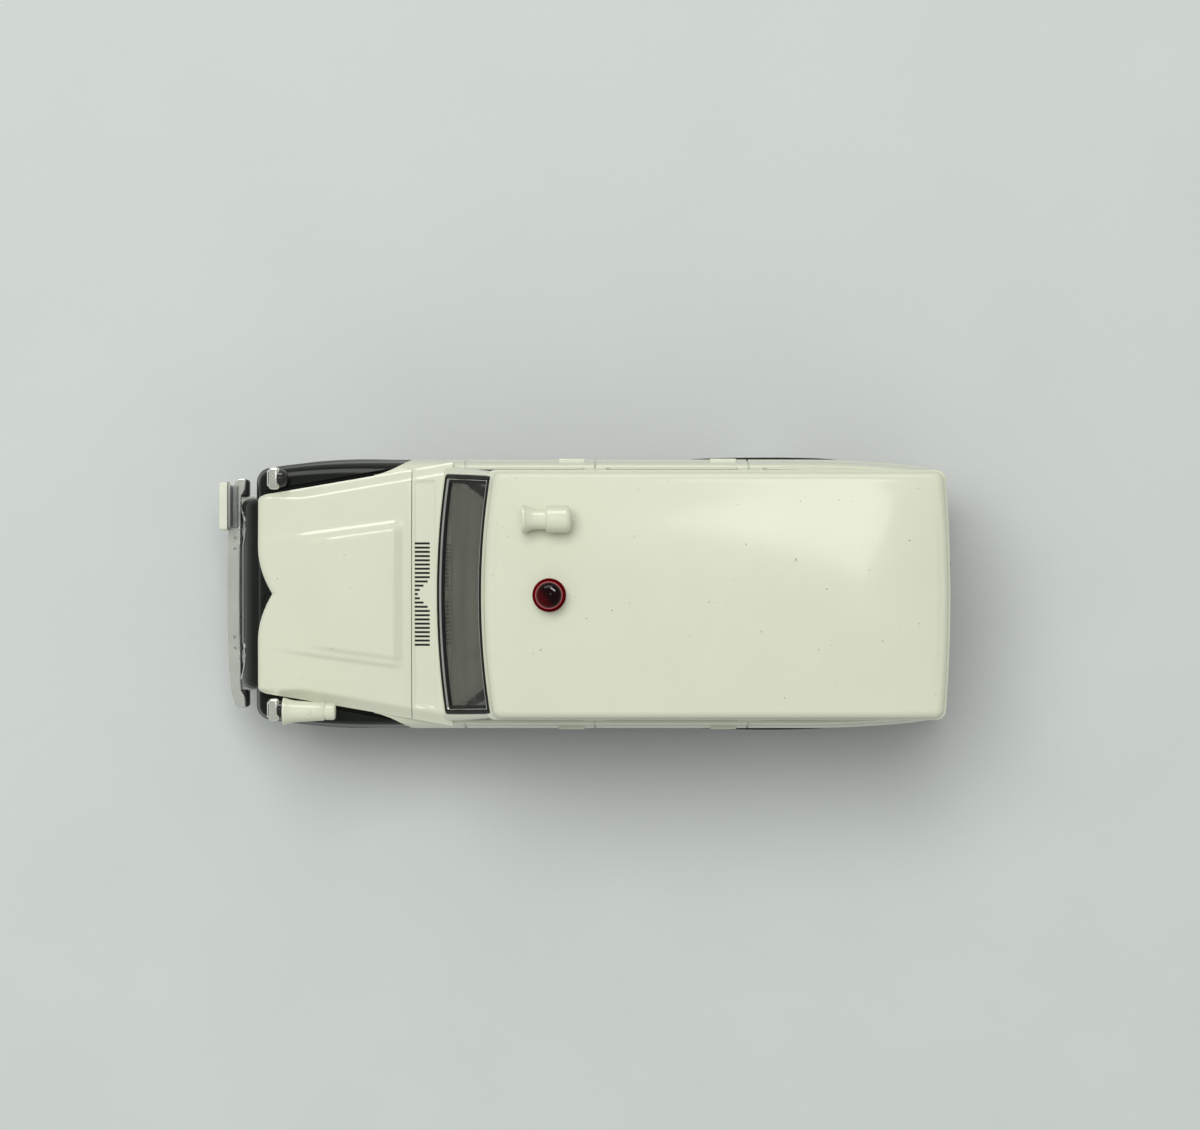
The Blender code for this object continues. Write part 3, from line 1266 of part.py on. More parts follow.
rear_plate = block(
    "rear_plate",
    (tail_face_x + FIT, tail_face_x + 0.4e-3),
    (-PLATE_SIZE[1] / 2, PLATE_SIZE[1] / 2),
    (SILL_Z + 2.6e-3, SILL_Z + 2.6e-3 + PLATE_SIZE[2]),
    0.08e-3,
)
piece(rear_plate, plate_white)
handle = block(
    "tailgate_handle",
    (TAIL_X - 0.2e-3, TAIL_X + 0.7e-3),
    (HANDLE_Y - HANDLE_WIDTH / 2, HANDLE_Y + HANDLE_WIDTH / 2),
    (CREASE_Z + 1.0e-3, CREASE_Z + 1.6e-3),
    0.2e-3,
)
piece(handle, finish("handle_metal", (0.25, 0.25, 0.2), 0.4, 0.6))
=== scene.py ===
"""Looks of a 1:64 die-cast off-road wagon in patrol trim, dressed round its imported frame.

Sizes are millimetres in the wagon's frame: nose towards -X, right side towards +Y, ground at Z 0.
"""

import math

import bmesh
import bpy
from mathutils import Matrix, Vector


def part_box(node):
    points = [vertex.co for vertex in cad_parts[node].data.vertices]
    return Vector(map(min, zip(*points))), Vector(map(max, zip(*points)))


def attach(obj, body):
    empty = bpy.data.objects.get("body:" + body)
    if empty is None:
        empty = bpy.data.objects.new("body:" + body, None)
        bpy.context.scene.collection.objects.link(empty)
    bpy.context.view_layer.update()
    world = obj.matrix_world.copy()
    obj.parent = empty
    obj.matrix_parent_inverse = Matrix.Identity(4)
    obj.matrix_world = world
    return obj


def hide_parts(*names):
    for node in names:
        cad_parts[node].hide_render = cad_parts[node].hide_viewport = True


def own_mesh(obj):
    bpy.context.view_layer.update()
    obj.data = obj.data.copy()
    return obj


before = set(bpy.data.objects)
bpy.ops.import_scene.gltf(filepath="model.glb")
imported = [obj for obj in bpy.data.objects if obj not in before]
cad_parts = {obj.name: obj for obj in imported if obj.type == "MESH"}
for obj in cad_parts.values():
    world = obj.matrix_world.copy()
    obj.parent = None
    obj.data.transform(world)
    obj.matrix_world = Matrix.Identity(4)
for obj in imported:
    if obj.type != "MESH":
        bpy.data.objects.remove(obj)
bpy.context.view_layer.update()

MM = 0.001


# Studio: pale paper that fades into a pale room, lit from the wagon's right by a soft window, and a camera
# that looks straight down on the cabin. A panel shows as the sheen on the roof, two cards as lines along the
# paint's edges, and a pane as the glint in the beacon.
CAMERA_PLACE = (1.6, 2.86, 340.0)
CAMERA_LENS, CAMERA_SENSOR, CAMERA_NEAR = 98.1, 36.0, 1.0
PAPER = (0.62, 0.65, 0.628)
FLOOR_RADIUS, FLOOR_FADE = 420.0, 180.0
ROOM_TINT = (0.97, 1.0, 0.98, 1.0)
ROOM_LIGHT, ROOM_SEEN, ROOM_MIRRORED = 0.42, 0.6, 0.36
NOISE_LOW, NOISE_HIGH = 0.3, 0.7
ROUGH_SWING = 0.2
GRIME, GRIME_SCALE, GRIME_LOW, GRIME_HIGH = (0.10, 0.10, 0.08, 1.0), 2400.0, 0.77, 0.82


def add_node(tree, kind, sockets=(), **settings):
    """A new shader node with its settings, and values on its sockets from (socket, value) pairs."""
    node = tree.nodes.new(f"ShaderNode{kind}")
    for setting, value in settings.items():
        setattr(node, setting, value)
    for socket, value in sockets:
        node.inputs[socket].default_value = value
    return node


def wire(tree, *leads):
    """Links shader nodes: a lead names a node and its output, then a node and its input."""
    for source, output, target, socket in leads:
        tree.links.new(source.outputs[output], target.inputs[socket])


def finish(
    name, colour, rough, metal=0.0, mottle=0.05, blotch=700.0, grain=4000.0, dent=0.004, soften=0.0,
    stretch=(1.0, 1.0, 1.0), specks=0.0, sockets=(),
):
    """A Principled finish whose colour and roughness vary in blotches and whose surface has a fine grain.

    Both are noise on Object coordinates, scaled per metre and by stretch along each axis. dent is the grain's
    height and soften the radius that sharp edges are shaded with, in mm. specks is how dark the grime specks
    are. sockets holds (name, value) pairs.
    """
    material = bpy.data.materials.new(name)
    material.use_nodes = True
    tree = material.node_tree
    shader = tree.nodes["Principled BSDF"]
    for socket, value in (("Metallic", metal), *sockets):
        shader.inputs[socket].default_value = value
    place = add_node(tree, "Mapping", [("Scale", stretch)])
    patches = add_node(tree, "TexNoise", [("Scale", blotch), ("Detail", 5.0)])
    tone = add_node(tree, "ValToRGB")
    levels = ((NOISE_LOW, 1 - mottle), (NOISE_HIGH, 1 + mottle))
    for stop, (position, level) in zip(tone.color_ramp.elements, levels):
        stop.position = position
        stop.color = (*[min(1.0, part * level) for part in colour], 1.0)
    swing = [("To Min", rough * (1 - ROUGH_SWING)), ("To Max", rough * (1 + ROUGH_SWING))]
    gloss = add_node(tree, "MapRange", [("From Min", NOISE_LOW), ("From Max", NOISE_HIGH), *swing])
    wire(
        tree,
        (add_node(tree, "TexCoord"), "Object", place, "Vector"),
        (place, "Vector", patches, "Vector"),
        (patches, "Fac", tone, "Fac"),
        (tone, "Color", shader, "Base Color"),
        (patches, "Fac", gloss, "Value"),
        (gloss, "Result", shader, "Roughness"),
    )
    if specks:
        grime = add_node(tree, "TexNoise", [("Scale", GRIME_SCALE), ("Detail", 1.0)])
        soiling = [("From Min", GRIME_LOW), ("From Max", GRIME_HIGH), ("To Max", specks)]
        spread = add_node(tree, "MapRange", soiling)
        soiled = add_node(tree, "Mix", [("B", GRIME)], data_type="RGBA")
        wire(
            tree,
            (place, "Vector", grime, "Vector"),
            (grime, "Fac", spread, "Value"),
            (spread, "Result", soiled, "Factor"),
            (tone, "Color", soiled, "A"),
            (soiled, "Result", shader, "Base Color"),
        )
    if dent:
        pits = add_node(tree, "TexNoise", [("Scale", grain), ("Detail", 2.0)])
        bump = add_node(tree, "Bump", [("Distance", dent * MM)])
        wire(
            tree,
            (place, "Vector", pits, "Vector"),
            (pits, "Fac", bump, "Height"),
            (bump, "Normal", shader, "Normal"),
        )
        if soften:
            wire(tree, (add_node(tree, "Bevel", [("Radius", soften * MM)]), "Normal", bump, "Normal"))
    return material


def as_mesh(shape, name):
    """A mesh made from a bmesh, which is used up."""
    mesh = bpy.data.meshes.new(name)
    shape.to_mesh(mesh)
    shape.free()
    return mesh


def placed(name, data):
    """An object in the scene that holds a mesh, a light or a camera."""
    holder = bpy.data.objects.new(name, data)
    bpy.context.scene.collection.objects.link(holder)
    return holder


paper = bmesh.new()
bmesh.ops.create_circle(paper, cap_ends=True, segments=96, radius=FLOOR_RADIUS * MM)
paper_mesh = as_mesh(paper, "paper_floor")
floor_paper = finish("floor_paper", PAPER, 0.75, mottle=0.012, blotch=60.0, grain=1500.0, dent=0.02)
sheet = floor_paper.node_tree
from_middle = add_node(sheet, "VectorMath", operation="LENGTH")
fade_limits = [("From Min", FLOOR_FADE * MM), ("From Max", FLOOR_RADIUS * MM)]
fade = add_node(sheet, "MapRange", fade_limits, interpolation_type="SMOOTHSTEP")
blend = add_node(sheet, "MixShader")
wire(
    sheet,
    (sheet.nodes["Texture Coordinate"], "Object", from_middle, 0),
    (from_middle, "Value", fade, "Value"),
    (fade, "Result", blend, "Fac"),
    (sheet.nodes["Principled BSDF"], "BSDF", blend, 1),
    (add_node(sheet, "BsdfTransparent"), "BSDF", blend, 2),
    (blend, "Shader", sheet.nodes["Material Output"], "Surface"),
)
paper_mesh.materials.append(floor_paper)
floor = placed("paper_floor", paper_mesh)


def lamp(name, place, aim, size, watts, mirrored=True, lit=True):
    """A rectangular soft light at a place, turned to an aim. Gloss may mirror it, and it may light."""
    light = bpy.data.lights.new(name, "AREA")
    light.shape = "RECTANGLE"
    light.size, light.size_y = (side * MM for side in size)
    light.energy = watts
    holder = placed(name, light)
    holder.location = Vector(place) * MM
    holder.rotation_euler = (Vector(aim) - Vector(place)).to_track_quat("-Z", "Y").to_euler()
    holder.visible_glossy = mirrored
    holder.visible_diffuse = lit


lamp("window_light", (-110.0, 195.0, 640.0), (0.0, 0.0, 0.0), (420.0, 340.0), 2.95, mirrored=False)
lamp("overhead_panel", (78.0, 74.0, 540.0), (20.0, 8.0, 28.0), (100.0, 84.0), 0.08)
for card, watts in (("highlight_card", 2.1), ("dim_card", 0.7)):
    lamp(card, (-40.0, 520.0, 300.0), (0.0, 0.0, 15.0), (520.0, 260.0), watts, lit=False)
lamp("window_pane", (165.0, 245.0, 300.0), (0.0, 0.0, 30.0), (230.0, 100.0), 1.9, lit=False)
world = bpy.data.worlds.new("pale_room")
bpy.context.scene.world = world
world.use_nodes = True
air = world.node_tree
room = air.nodes["Background"]
room.inputs["Color"].default_value = ROOM_TINT
rays = add_node(air, "LightPath")
seen = add_node(air, "Math", operation="MAXIMUM")
backdrop = add_node(air, "MapRange", [("To Min", ROOM_LIGHT), ("To Max", ROOM_SEEN)])
mirrored_room = add_node(air, "MapRange", [("To Max", ROOM_MIRRORED)])
wire(
    air,
    (rays, "Is Camera Ray", seen, 0),
    (rays, "Is Transmission Ray", seen, 1),
    (seen, "Value", backdrop, "Value"),
    (backdrop, "Result", mirrored_room, "To Min"),
    (rays, "Is Glossy Ray", mirrored_room, "Value"),
    (mirrored_room, "Result", room, "Strength"),
)
camera = bpy.data.cameras.new("overhead_camera")
camera.sensor_fit = "HORIZONTAL"
camera.sensor_width = CAMERA_SENSOR
camera.lens = CAMERA_LENS
camera.clip_start = CAMERA_NEAR * MM
camera_holder = placed("overhead_camera", camera)
camera_holder.location = Vector(CAMERA_PLACE) * MM
bpy.context.scene.camera = camera_holder
bpy.context.scene.view_settings.view_transform = "Standard"


# Chassis base: one black moulding with its ears, rails and running gear in relief, screwed up into the
# casting. Its solid is right as it stands, so it keeps it and takes a grained satin finish.
def coat(material, *nodes):
    """Gives solids carried over from the frame a finish."""
    for node in nodes:
        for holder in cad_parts[node].material_slots:
            holder.material = material


satin_black = finish(
    "satin_black_moulding", (0.018, 0.018, 0.017), 0.48, mottle=0.25, grain=6000.0, dent=0.006
)
coat(satin_black, "chassis_base")


# Chassis screws: two plated pan heads under the plate, each with a cross recess, headed and pressed from
# steel wire and driven up into the casting's posts.
AXES = {"X": ((1, 0, 0), (0, 0, 1)), "Y": ((0, 1, 0), (0, 0, 1)), "Z": ((0, 0, 1), (1, 0, 0))}
SCREW_HEAD, SCREW_CORE = 1.3, 0.6
SCREW_SLOT, SCREW_SLOT_REACH = 0.32, 0.8
steel = finish("drawn_steel", (0.52, 0.52, 0.51), 0.32, 1.0, mottle=0.12, blotch=1500.0, grain=9000.0)


def limits(node):
    """The lowest and highest corners of a solid of the frame, in millimetres."""
    return [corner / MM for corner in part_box(node)]


def around(middle, half):
    """A pair of limits at half to each side of a middle."""
    return (middle - half, middle + half)


def turned(profile, axis, centre, steps=48, ring=False):
    """A (radius, distance along the axis) profile spun into a bmesh about an axis through centre."""
    shape = bmesh.new()
    spindle, out = (Vector(line) for line in AXES[axis])
    points = [shape.verts.new(Vector(centre) + out * radius + spindle * w) for radius, w in profile]
    pairs = list(zip(points, points[1:] + points[:1]))
    lines = [shape.edges.new(pair) for pair in (pairs if ring else pairs[:-1])]
    bmesh.ops.spin(
        shape, geom=[*points, *lines], cent=centre, axis=spindle, dvec=(0, 0, 0), angle=math.tau, steps=steps,
        use_merge=True,
    )
    bmesh.ops.remove_doubles(shape, verts=shape.verts, dist=1e-4)
    bmesh.ops.recalc_face_normals(shape, faces=shape.faces)
    return shape


def firm(shape, width):
    """Insets the flats of a rounded block, so that smooth shading stays in its edges."""
    shape.normal_update()
    flats = [face for face in shape.faces if max(abs(part) for part in face.normal) > 0.9999]
    bmesh.ops.inset_individual(shape, faces=flats, thickness=width, use_even_offset=True)


def round_off(shape, edges, radius, segments, clamp=False):
    """Rounds edges of a bmesh."""
    bmesh.ops.bevel(
        shape, geom=edges, offset=radius, segments=segments, profile=0.5, affect="EDGES", material=-1,
        clamp_overlap=clamp,
    )


def box(x, y, z, radius=0.0, segments=3):
    """A block between pairs of limits with rounded edges, as a bmesh."""
    shape = bmesh.new()
    bmesh.ops.create_cube(shape, size=1.0)
    bmesh.ops.scale(shape, verts=shape.verts, vec=[high - low for low, high in (x, y, z)])
    bmesh.ops.translate(shape, verts=shape.verts, vec=[(low + high) / 2 for low, high in (x, y, z)])
    if radius:
        round_off(shape, shape.edges[:], radius, segments)
        firm(shape, radius * 0.3)
    return shape


def temporary(shape):
    """An object that holds a bmesh while it is cut."""
    bmesh.ops.recalc_face_normals(shape, faces=shape.faces)
    return placed("blank", as_mesh(shape, "blank"))


def carve(shape, *tools, operation="DIFFERENCE"):
    """Cuts a bmesh with others, or joins it to them, by exact Booleans."""
    blank = temporary(shape)
    blocks = [temporary(tool) for tool in tools]
    for block in blocks:
        step = blank.modifiers.new("step", "BOOLEAN")
        step.solver = "EXACT"
        step.operation = operation
        step.object = block
    bpy.context.view_layer.update()
    result = bmesh.new()
    result.from_object(blank, bpy.context.evaluated_depsgraph_get())
    for spent in (blank, *blocks):
        bpy.data.objects.remove(spent, do_unlink=True)
    return result


def merged(*shapes):
    """Several bmeshes gathered in one, each still its own closed body."""
    whole = bmesh.new()
    for shape in shapes:
        mesh = as_mesh(shape, "gathered")
        whole.from_mesh(mesh)
        bpy.data.meshes.remove(mesh)
    return whole


def dress(shape, name, material, stands_for=(), body="car", crisp=32.0):
    """Makes a bmesh a piece of the wagon, shaded smooth up to the crisp angle, on the body it moves with."""
    bmesh.ops.remove_doubles(shape, verts=shape.verts, dist=1e-4)
    bmesh.ops.recalc_face_normals(shape, faces=shape.faces)
    bmesh.ops.scale(shape, verts=shape.verts, vec=(MM, MM, MM))
    mesh = as_mesh(shape, name)
    mesh.materials.clear()
    mesh.materials.append(material)
    mesh.shade_smooth()
    mesh.set_sharp_from_angle(angle=math.radians(crisp))
    piece = placed(name, mesh)
    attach(piece, body)
    if stands_for:
        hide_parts(*stands_for)
    return piece


for screw_node in ("chassis_screw_front", "chassis_screw_rear"):
    low, high = limits(screw_node)
    screw_x = (low.x + high.x) / 2
    collar = low.z + 0.6
    head = [(0, high.z), (0.42, high.z), (SCREW_CORE, high.z - 0.5), (SCREW_CORE, collar)]
    head += [(SCREW_HEAD, collar), (SCREW_HEAD, low.z + 0.3), (1.16, low.z + 0.12), (0.85, low.z), (0, low.z)]
    slots = [
        box(around(screw_x, a), around(0.0, b), (low.z - 0.3, low.z + 0.35))
        for a, b in ((SCREW_SLOT / 2, SCREW_SLOT_REACH), (SCREW_SLOT_REACH, SCREW_SLOT / 2))
    ]
    screw = carve(turned(head, "Z", (screw_x, 0, 0)), *slots)
    dress(screw, f"cross_{screw_node}", steel, [screw_node])


# Axles: drawn steel wire with a head upset on each end, running through slots in the chassis ears. They carry
# the wheels and slide up in the slots against the leaf strips.
def both_ends(half):
    """A profile of (radius, distance) points with its mirror image carried on from it."""
    return half + [(radius, -w) for radius, w in half[::-1]]


for end in ("front", "rear"):
    low, high = limits(f"{end}_axle")
    tip = high.y
    half = [(0, tip), (0.45, tip), (0.8, tip - 0.07), (0.96, tip - 0.2), (1.0, tip - 0.32), (1.0, tip - 0.45)]
    half += [(0.6, tip - 0.45)]
    rod = turned(both_ends(half), "Y", ((low.x + high.x) / 2, 0, (low.z + high.z) / 2), 32)
    dress(rod, f"{end}_axle_wire", steel, [f"{end}_axle"], f"{end}_axle")


# Leaf strips: two bowed strips of bare spring steel, cut from sheet, that press the axles down in their
# slots. Each lies loose under the base plate. The real one flattens against it as its axle rises, and here it
# is drawn bowed, as at rest.
LEAF_THICKNESS = 0.25
LEAF_STATIONS = 12


def split(shape, places, across):
    """Cuts a bmesh by planes through places, square to across, so that it can be bent."""
    for place in places:
        bmesh.ops.bisect_plane(
            shape, geom=[*shape.verts, *shape.edges, *shape.faces], plane_co=place, plane_no=across
        )


for end in ("front", "rear"):
    low, high = limits(f"{end}_leaf_strip")
    leaf = box((low.x, high.x), (low.y, high.y), (high.z - LEAF_THICKNESS, high.z), 0.06, 2)
    stations = range(1 - LEAF_STATIONS, LEAF_STATIONS)
    split(leaf, [(0, high.y * k / LEAF_STATIONS, 0) for k in stations], (0, 1, 0))
    for point in leaf.verts:
        point.co.z -= (high.z - low.z - LEAF_THICKNESS) * (1 - (point.co.y / high.y) ** 2)
    piece = dress(leaf, f"sprung_leaf_{end}", steel, [f"{end}_leaf_strip"])
    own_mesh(piece)


# Wheels: a soft black tyre with a blocked tread, stretched over a plated rim with six round vents. Each pair
# of rim and tyre turns on its end of the axle wire.
RIM_VENT, RIM_VENTS, VENT_CIRCLE = 0.36, 6, 2.2
TREAD_STEPS, TREAD_DEPTH = 80, 0.2
rubber = finish("tyre_rubber", (0.022, 0.021, 0.020), 0.72, mottle=0.3, blotch=900.0, grain=7000.0, dent=0.02)
rim_silver = finish("rim_silver", (0.66, 0.67, 0.65), 0.28, 0.85, mottle=0.03, grain=3000.0, dent=0.001)


def points_in(parts):
    """The vertices among what an operator has made."""
    return [part for part in parts if isinstance(part, bmesh.types.BMVert)]


def tyre_shape(centre, out):
    """A tyre with two ribs round its middle and staggered blocks on its shoulders."""
    half = [(3.75, 1.3), (3.95, 1.36), (4.05, 1.44), (4.2, 1.47), (4.32, 1.42), (4.75, 1.5), (5.2, 1.47)]
    half += [(5.5, 1.42), (5.72, 1.3), (5.86, 1.16), (5.95, 0.98), (6.0, 0.78), (6.0, 0.36), (5.84, 0.34)]
    half += [(5.84, 0.2), (6.0, 0.18)]
    inner = [(3.32, -0.8), (3.32, 0.8)]
    profile = inner + both_ends(half)
    shape = turned([(r, w * out) for r, w in profile], "Y", centre, TREAD_STEPS, True)
    middle = Vector(centre)
    blocks = []
    for face in shape.faces:
        arm = face.calc_center_median() - middle
        across = abs(arm.y)
        step = int((math.atan2(arm.z, arm.x) / math.tau + 1) * TREAD_STEPS)
        if 0.36 < across < 1.32 and arm.length > 5.6 and (step + 2 * (arm.y > 0)) % 4 == 0:
            blocks.append(face)
    cut = bmesh.ops.extrude_face_region(shape, geom=blocks)["geom"]
    bmesh.ops.delete(shape, geom=blocks, context="FACES")
    for point in points_in(cut):
        arm = point.co - middle
        point.co -= Vector((arm.x, 0, arm.z)).normalized() * TREAD_DEPTH
    return shape


def rim_shape(centre, out):
    """A dished steel rim with a rolled lip, a raised hub and a ring of round vents."""
    profile = [
        (3.3, 1.3), (3.45, 1.38), (3.62, 1.38), (3.7, 1.28), (3.68, 1.05), (3.25, 0.85), (3.25, -0.85),
        (3.7, -1.0), (3.7, -1.3), (3.0, -1.3), (2.8, -0.4), (1.35, -0.4), (1.15, -1.6), (0.65, -1.6),
        (0.65, 0.85), (1.1, 0.85), (1.12, 1.15), (1.22, 1.22), (1.38, 1.2), (1.5, 1.08), (1.58, 0.78),
        (1.8, 0.66), (2.5, 0.72), (2.78, 0.66), (2.95, 0.52), (3.08, 0.6), (3.14, 0.95), (3.2, 1.18),
    ]
    shape = turned([(r, w * out) for r, w in profile], "Y", centre, 64, True)
    vents = []
    for i in range(RIM_VENTS):
        turn = math.tau * i / RIM_VENTS
        ahead, up = VENT_CIRCLE * math.cos(turn), VENT_CIRCLE * math.sin(turn)
        vent_at = (centre[0] + ahead, centre[1], centre[2] + up)
        vents.append(turned([(0, 2), (RIM_VENT, 2), (RIM_VENT, -2), (0, -2)], "Y", vent_at, 20))
    return carve(shape, merged(*vents))


for end in ("front", "rear"):
    for side, out in (("left", -1), ("right", 1)):
        corner = f"{end}_{side}"
        low, high = limits(f"tyre_{corner}")
        hub = (low + high) / 2
        wheel = f"wheel_{corner}"
        tyre, rim = tyre_shape(hub, out), rim_shape(hub, out)
        dress(tyre, f"treaded_tyre_{corner}", rubber, [f"tyre_{corner}"], wheel)
        dress(rim, f"vented_rim_{corner}", rim_silver, [f"rim_{corner}"], wheel)


# Interior: the tub with its seats, the dashboard and the steering wheel are matt dark mouldings that show
# only dimly behind the smoked glazing.
trim = finish("interior_trim", (0.09, 0.09, 0.085), 0.6, mottle=0.2, grain=5000.0)
dash_trim = finish(
    "dashboard_trim", (0.10, 0.10, 0.095), 0.5, mottle=0.45, blotch=900.0, stretch=(1.0, 0.12, 1.0)
)
wheel_black = finish("steering_black", (0.02, 0.02, 0.02), 0.4, mottle=0.2, grain=5000.0, dent=0.01)
coat(trim, "interior_tub")
coat(dash_trim, "dashboard")
coat(wheel_black, "steering_wheel")


# Lower body: the black half of the zinc casting, from the sill to the crease, with the front fenders, the
# nose panel and the lipped wheel arches. Gloss enamel, a little thicker on the edges.
SILL, CREASE, BELT, GUTTER = 7.3, 14.8, 17.9, 26.55
FENDER_FRONT, FENDER_REAR, FENDER_TOP = -32.55, -12.5, 16.55
TAIL, TAIL_BOW = 35.6, 0.5
BODY_HALF_WIDTH, BELT_HALF_WIDTH, CABIN_LEAN = 13.35, 12.5, 0.75
FRONT_TAPER, FRONT_DRAW = 11.5, 1.0
REAR_TAPER, REAR_DRAW = 13.6, 0.9
FRONT_CORNER, REAR_CORNER, LEAST_CORNER = 1.5, 1.6, 0.3
CORNER_CLEAR, PLAN_STEP = 3.0, 1.6
ROUND_HEIGHT, ROUND_DEPTH = 1.1, 1.9
WALL = 1.35
HOOD_RISE = 0.075
ARCH_RADIUS = 7.3
AXLE_X, AXLE_Z = (-24.0, 18.2), 6.0
NOSE, NOSE_HALF_WIDTH, NOSE_ROUND = -34.35, 9.5, 0.8
LAMP_Y, LAMP_Z = 6.35, 11.7
BONE_END, BONE_BAND = 2.1, 1.55
black_enamel = finish(
    "black_enamel", (0.010, 0.012, 0.009), 0.14, mottle=0.12, blotch=500.0, grain=1500.0, dent=0.002,
    soften=0.09, sockets=[("IOR", 1.28)],
)


def arc(u, v, radius, start, end, steps):
    """Points along an arc between two angles in degrees, both ends included."""
    angles = [math.radians(start + (end - start) * i / steps) for i in range(steps + 1)]
    return [(u + radius * math.cos(a), v + radius * math.sin(a)) for a in angles]


def rounded(corners, steps=8):
    """An outline with each corner (u, v, radius) rounded, or left sharp where its radius is 0."""
    points = []
    for i, (u, v, radius) in enumerate(corners):
        here = Vector((u, v))
        if radius == 0:
            points.append((u, v))
            continue
        back = (Vector(corners[i - 1][:2]) - here).normalized()
        ahead = (Vector(corners[(i + 1) % len(corners)][:2]) - here).normalized()
        half = back.angle(ahead) / 2
        centre = here + (back + ahead).normalized() * (radius / math.sin(half))
        first = here + back * (radius / math.tan(half)) - centre
        last = here + ahead * (radius / math.tan(half)) - centre
        start = math.atan2(first.y, first.x)
        turn = math.remainder(math.atan2(last.y, last.x) - start, math.tau)
        points += arc(centre.x, centre.y, radius, math.degrees(start), math.degrees(start + turn), steps)
    return points


def loft(loops, capped=True):
    """A skin drawn through loops of equally many points by extruding the ring from each to the next."""
    shape = bmesh.new()
    station = shape.verts.layers.int.new("station")
    points = [shape.verts.new(place) for place in loops[0]]
    for i, point in enumerate(points):
        point[station] = i
    ring = [shape.edges.new((points[i - 1], points[i])) for i in range(len(points))]
    if capped:
        bmesh.ops.contextual_create(shape, geom=ring)
    for loop in loops[1:]:
        grown = bmesh.ops.extrude_edge_only(shape, edges=ring)["geom"]
        fresh = set(points_in(grown))
        for point in fresh:
            point.co = loop[point[station]]
        edges = (part for part in grown if isinstance(part, bmesh.types.BMEdge))
        ring = [edge for edge in edges if fresh.issuperset(edge.verts)]
    if capped:
        bmesh.ops.contextual_create(shape, geom=ring)
    shape.verts.layers.int.remove(station)
    bmesh.ops.remove_doubles(shape, verts=shape.verts, dist=1e-4)
    bmesh.ops.recalc_face_normals(shape, faces=shape.faces)
    return shape


def prism(outline, low, high, axis):
    """A flat outline pushed from low to high along an axis."""
    slot = "XYZ".index(axis)
    return loft([[(*flat[:slot], w, *flat[slot:]) for flat in outline] for w in (low, high)])


def half_width(x):
    """Half the body's width at a station, drawn in towards both ends."""
    ahead = max(0.0, FENDER_FRONT + FRONT_TAPER - x) / FRONT_TAPER
    behind = max(0.0, x - TAIL + REAR_TAPER) / REAR_TAPER
    return BODY_HALF_WIDTH - FRONT_DRAW * ahead**2 - REAR_DRAW * behind**2


def body_plan(inset, front=FENDER_FRONT, rear=TAIL):
    """The body's outline from above at one level, drawn in by inset."""
    first, last = front + inset, rear - inset
    count = max(3, round((rear - front - 2 * CORNER_CLEAR) / PLAN_STEP))
    run = last - first - 2 * CORNER_CLEAR
    stations = [first + CORNER_CLEAR + run * i / count for i in range(count + 1)]
    tail_y = half_width(last) - inset
    side = [(first, half_width(first) - inset, max(FRONT_CORNER - inset, LEAST_CORNER))]
    side += [(x, half_width(x) - inset, 0) for x in stations]
    side += [(last - TAIL_BOW, tail_y, max(REAR_CORNER - inset, LEAST_CORNER))]
    tail = [(last - TAIL_BOW * (k / 6) ** 2, tail_y * k / 6, 0) for k in range(-5, 6)]
    return rounded([(x, -y, r) for x, y, r in side] + tail + side[::-1])


def body_levels(levels, front=FENDER_FRONT, rear=TAIL):
    """Loops of the body's plan at (height, inset) levels."""
    return [[(x, y, z) for x, y in body_plan(inset, front, rear)] for z, inset in levels]


def fender_round(bends, foot, inset):
    """(height, inset) levels round a fender's top edge, at bends in degrees from upright to flat."""
    levels = []
    for turn in (math.radians(bend) for bend in bends):
        height = CREASE + foot + ROUND_HEIGHT * math.sin(turn)
        levels.append((height, inset + ROUND_DEPTH * (1 - math.cos(turn))))
    return levels


def fender_lift(x, z):
    """How far a fender's skin has climbed with the hood at a station and a height."""
    return HOOD_RISE * (x - FENDER_FRONT) * max(0.0, (z - CREASE) / (FENDER_TOP - CREASE))


SIDE_LEVELS = [(SILL, 1.2), (SILL + 0.2, 0.86), (SILL + 0.6, 0.58), (SILL + 1.3, 0.4), (SILL + 2.3, 0.25)]
SIDE_LEVELS += [(CREASE - 2.5, 0.09)]
lower = loft(body_levels([*SIDE_LEVELS, (CREASE - 0.25, 0.03), (CREASE - 0.2, 0.3)]))
fender_levels = [(CREASE - 0.6, 0.35), (CREASE - 0.3, 0.05), (CREASE, 0.02), (CREASE + 0.12, 0.06)]
fender_levels += [(CREASE + 0.3, 0.15), (CREASE + 0.65, 0.3), *fender_round(range(10, 100, 10), 0.65, 0.3)]
fender_loops = [
    [(x, y, z + fender_lift(x, z)) for x, y, z in loop]
    for loop in body_levels(fender_levels, rear=FENDER_REAR)
]
NOSE_BOW = [(0.0, 11.9), (0.08, 12.4), (0.22, 12.95), (0.42, 13.5), (0.62, 13.95), (0.84, 14.36)]
NOSE_BOW += [(1.08, 14.72), (1.36, 15.04), (1.68, 15.32), (2.02, 15.58), (2.34, 15.8), (2.6, 15.94)]
nose_root = FENDER_FRONT + 3.0
nose_side = [(NOSE + 0.25, 9.0), (nose_root, 9.0), (nose_root, 16.3)]
nose_side += [(NOSE + back, z) for back, z in NOSE_BOW[::-1]] + [(NOSE, 9.25)]
valance = box((NOSE - 0.28, nose_root), (-9.0, 9.0), (SILL + 0.5, 9.6), 0.25, 3)
nose_stations = [(1.0 - 0.09 * k / 6, NOSE_ROUND * (1 - math.sqrt(1 - (1 - k / 6) ** 2))) for k in range(7)]
nose_stations += [(-share, back) for share, back in nose_stations[::-1]]
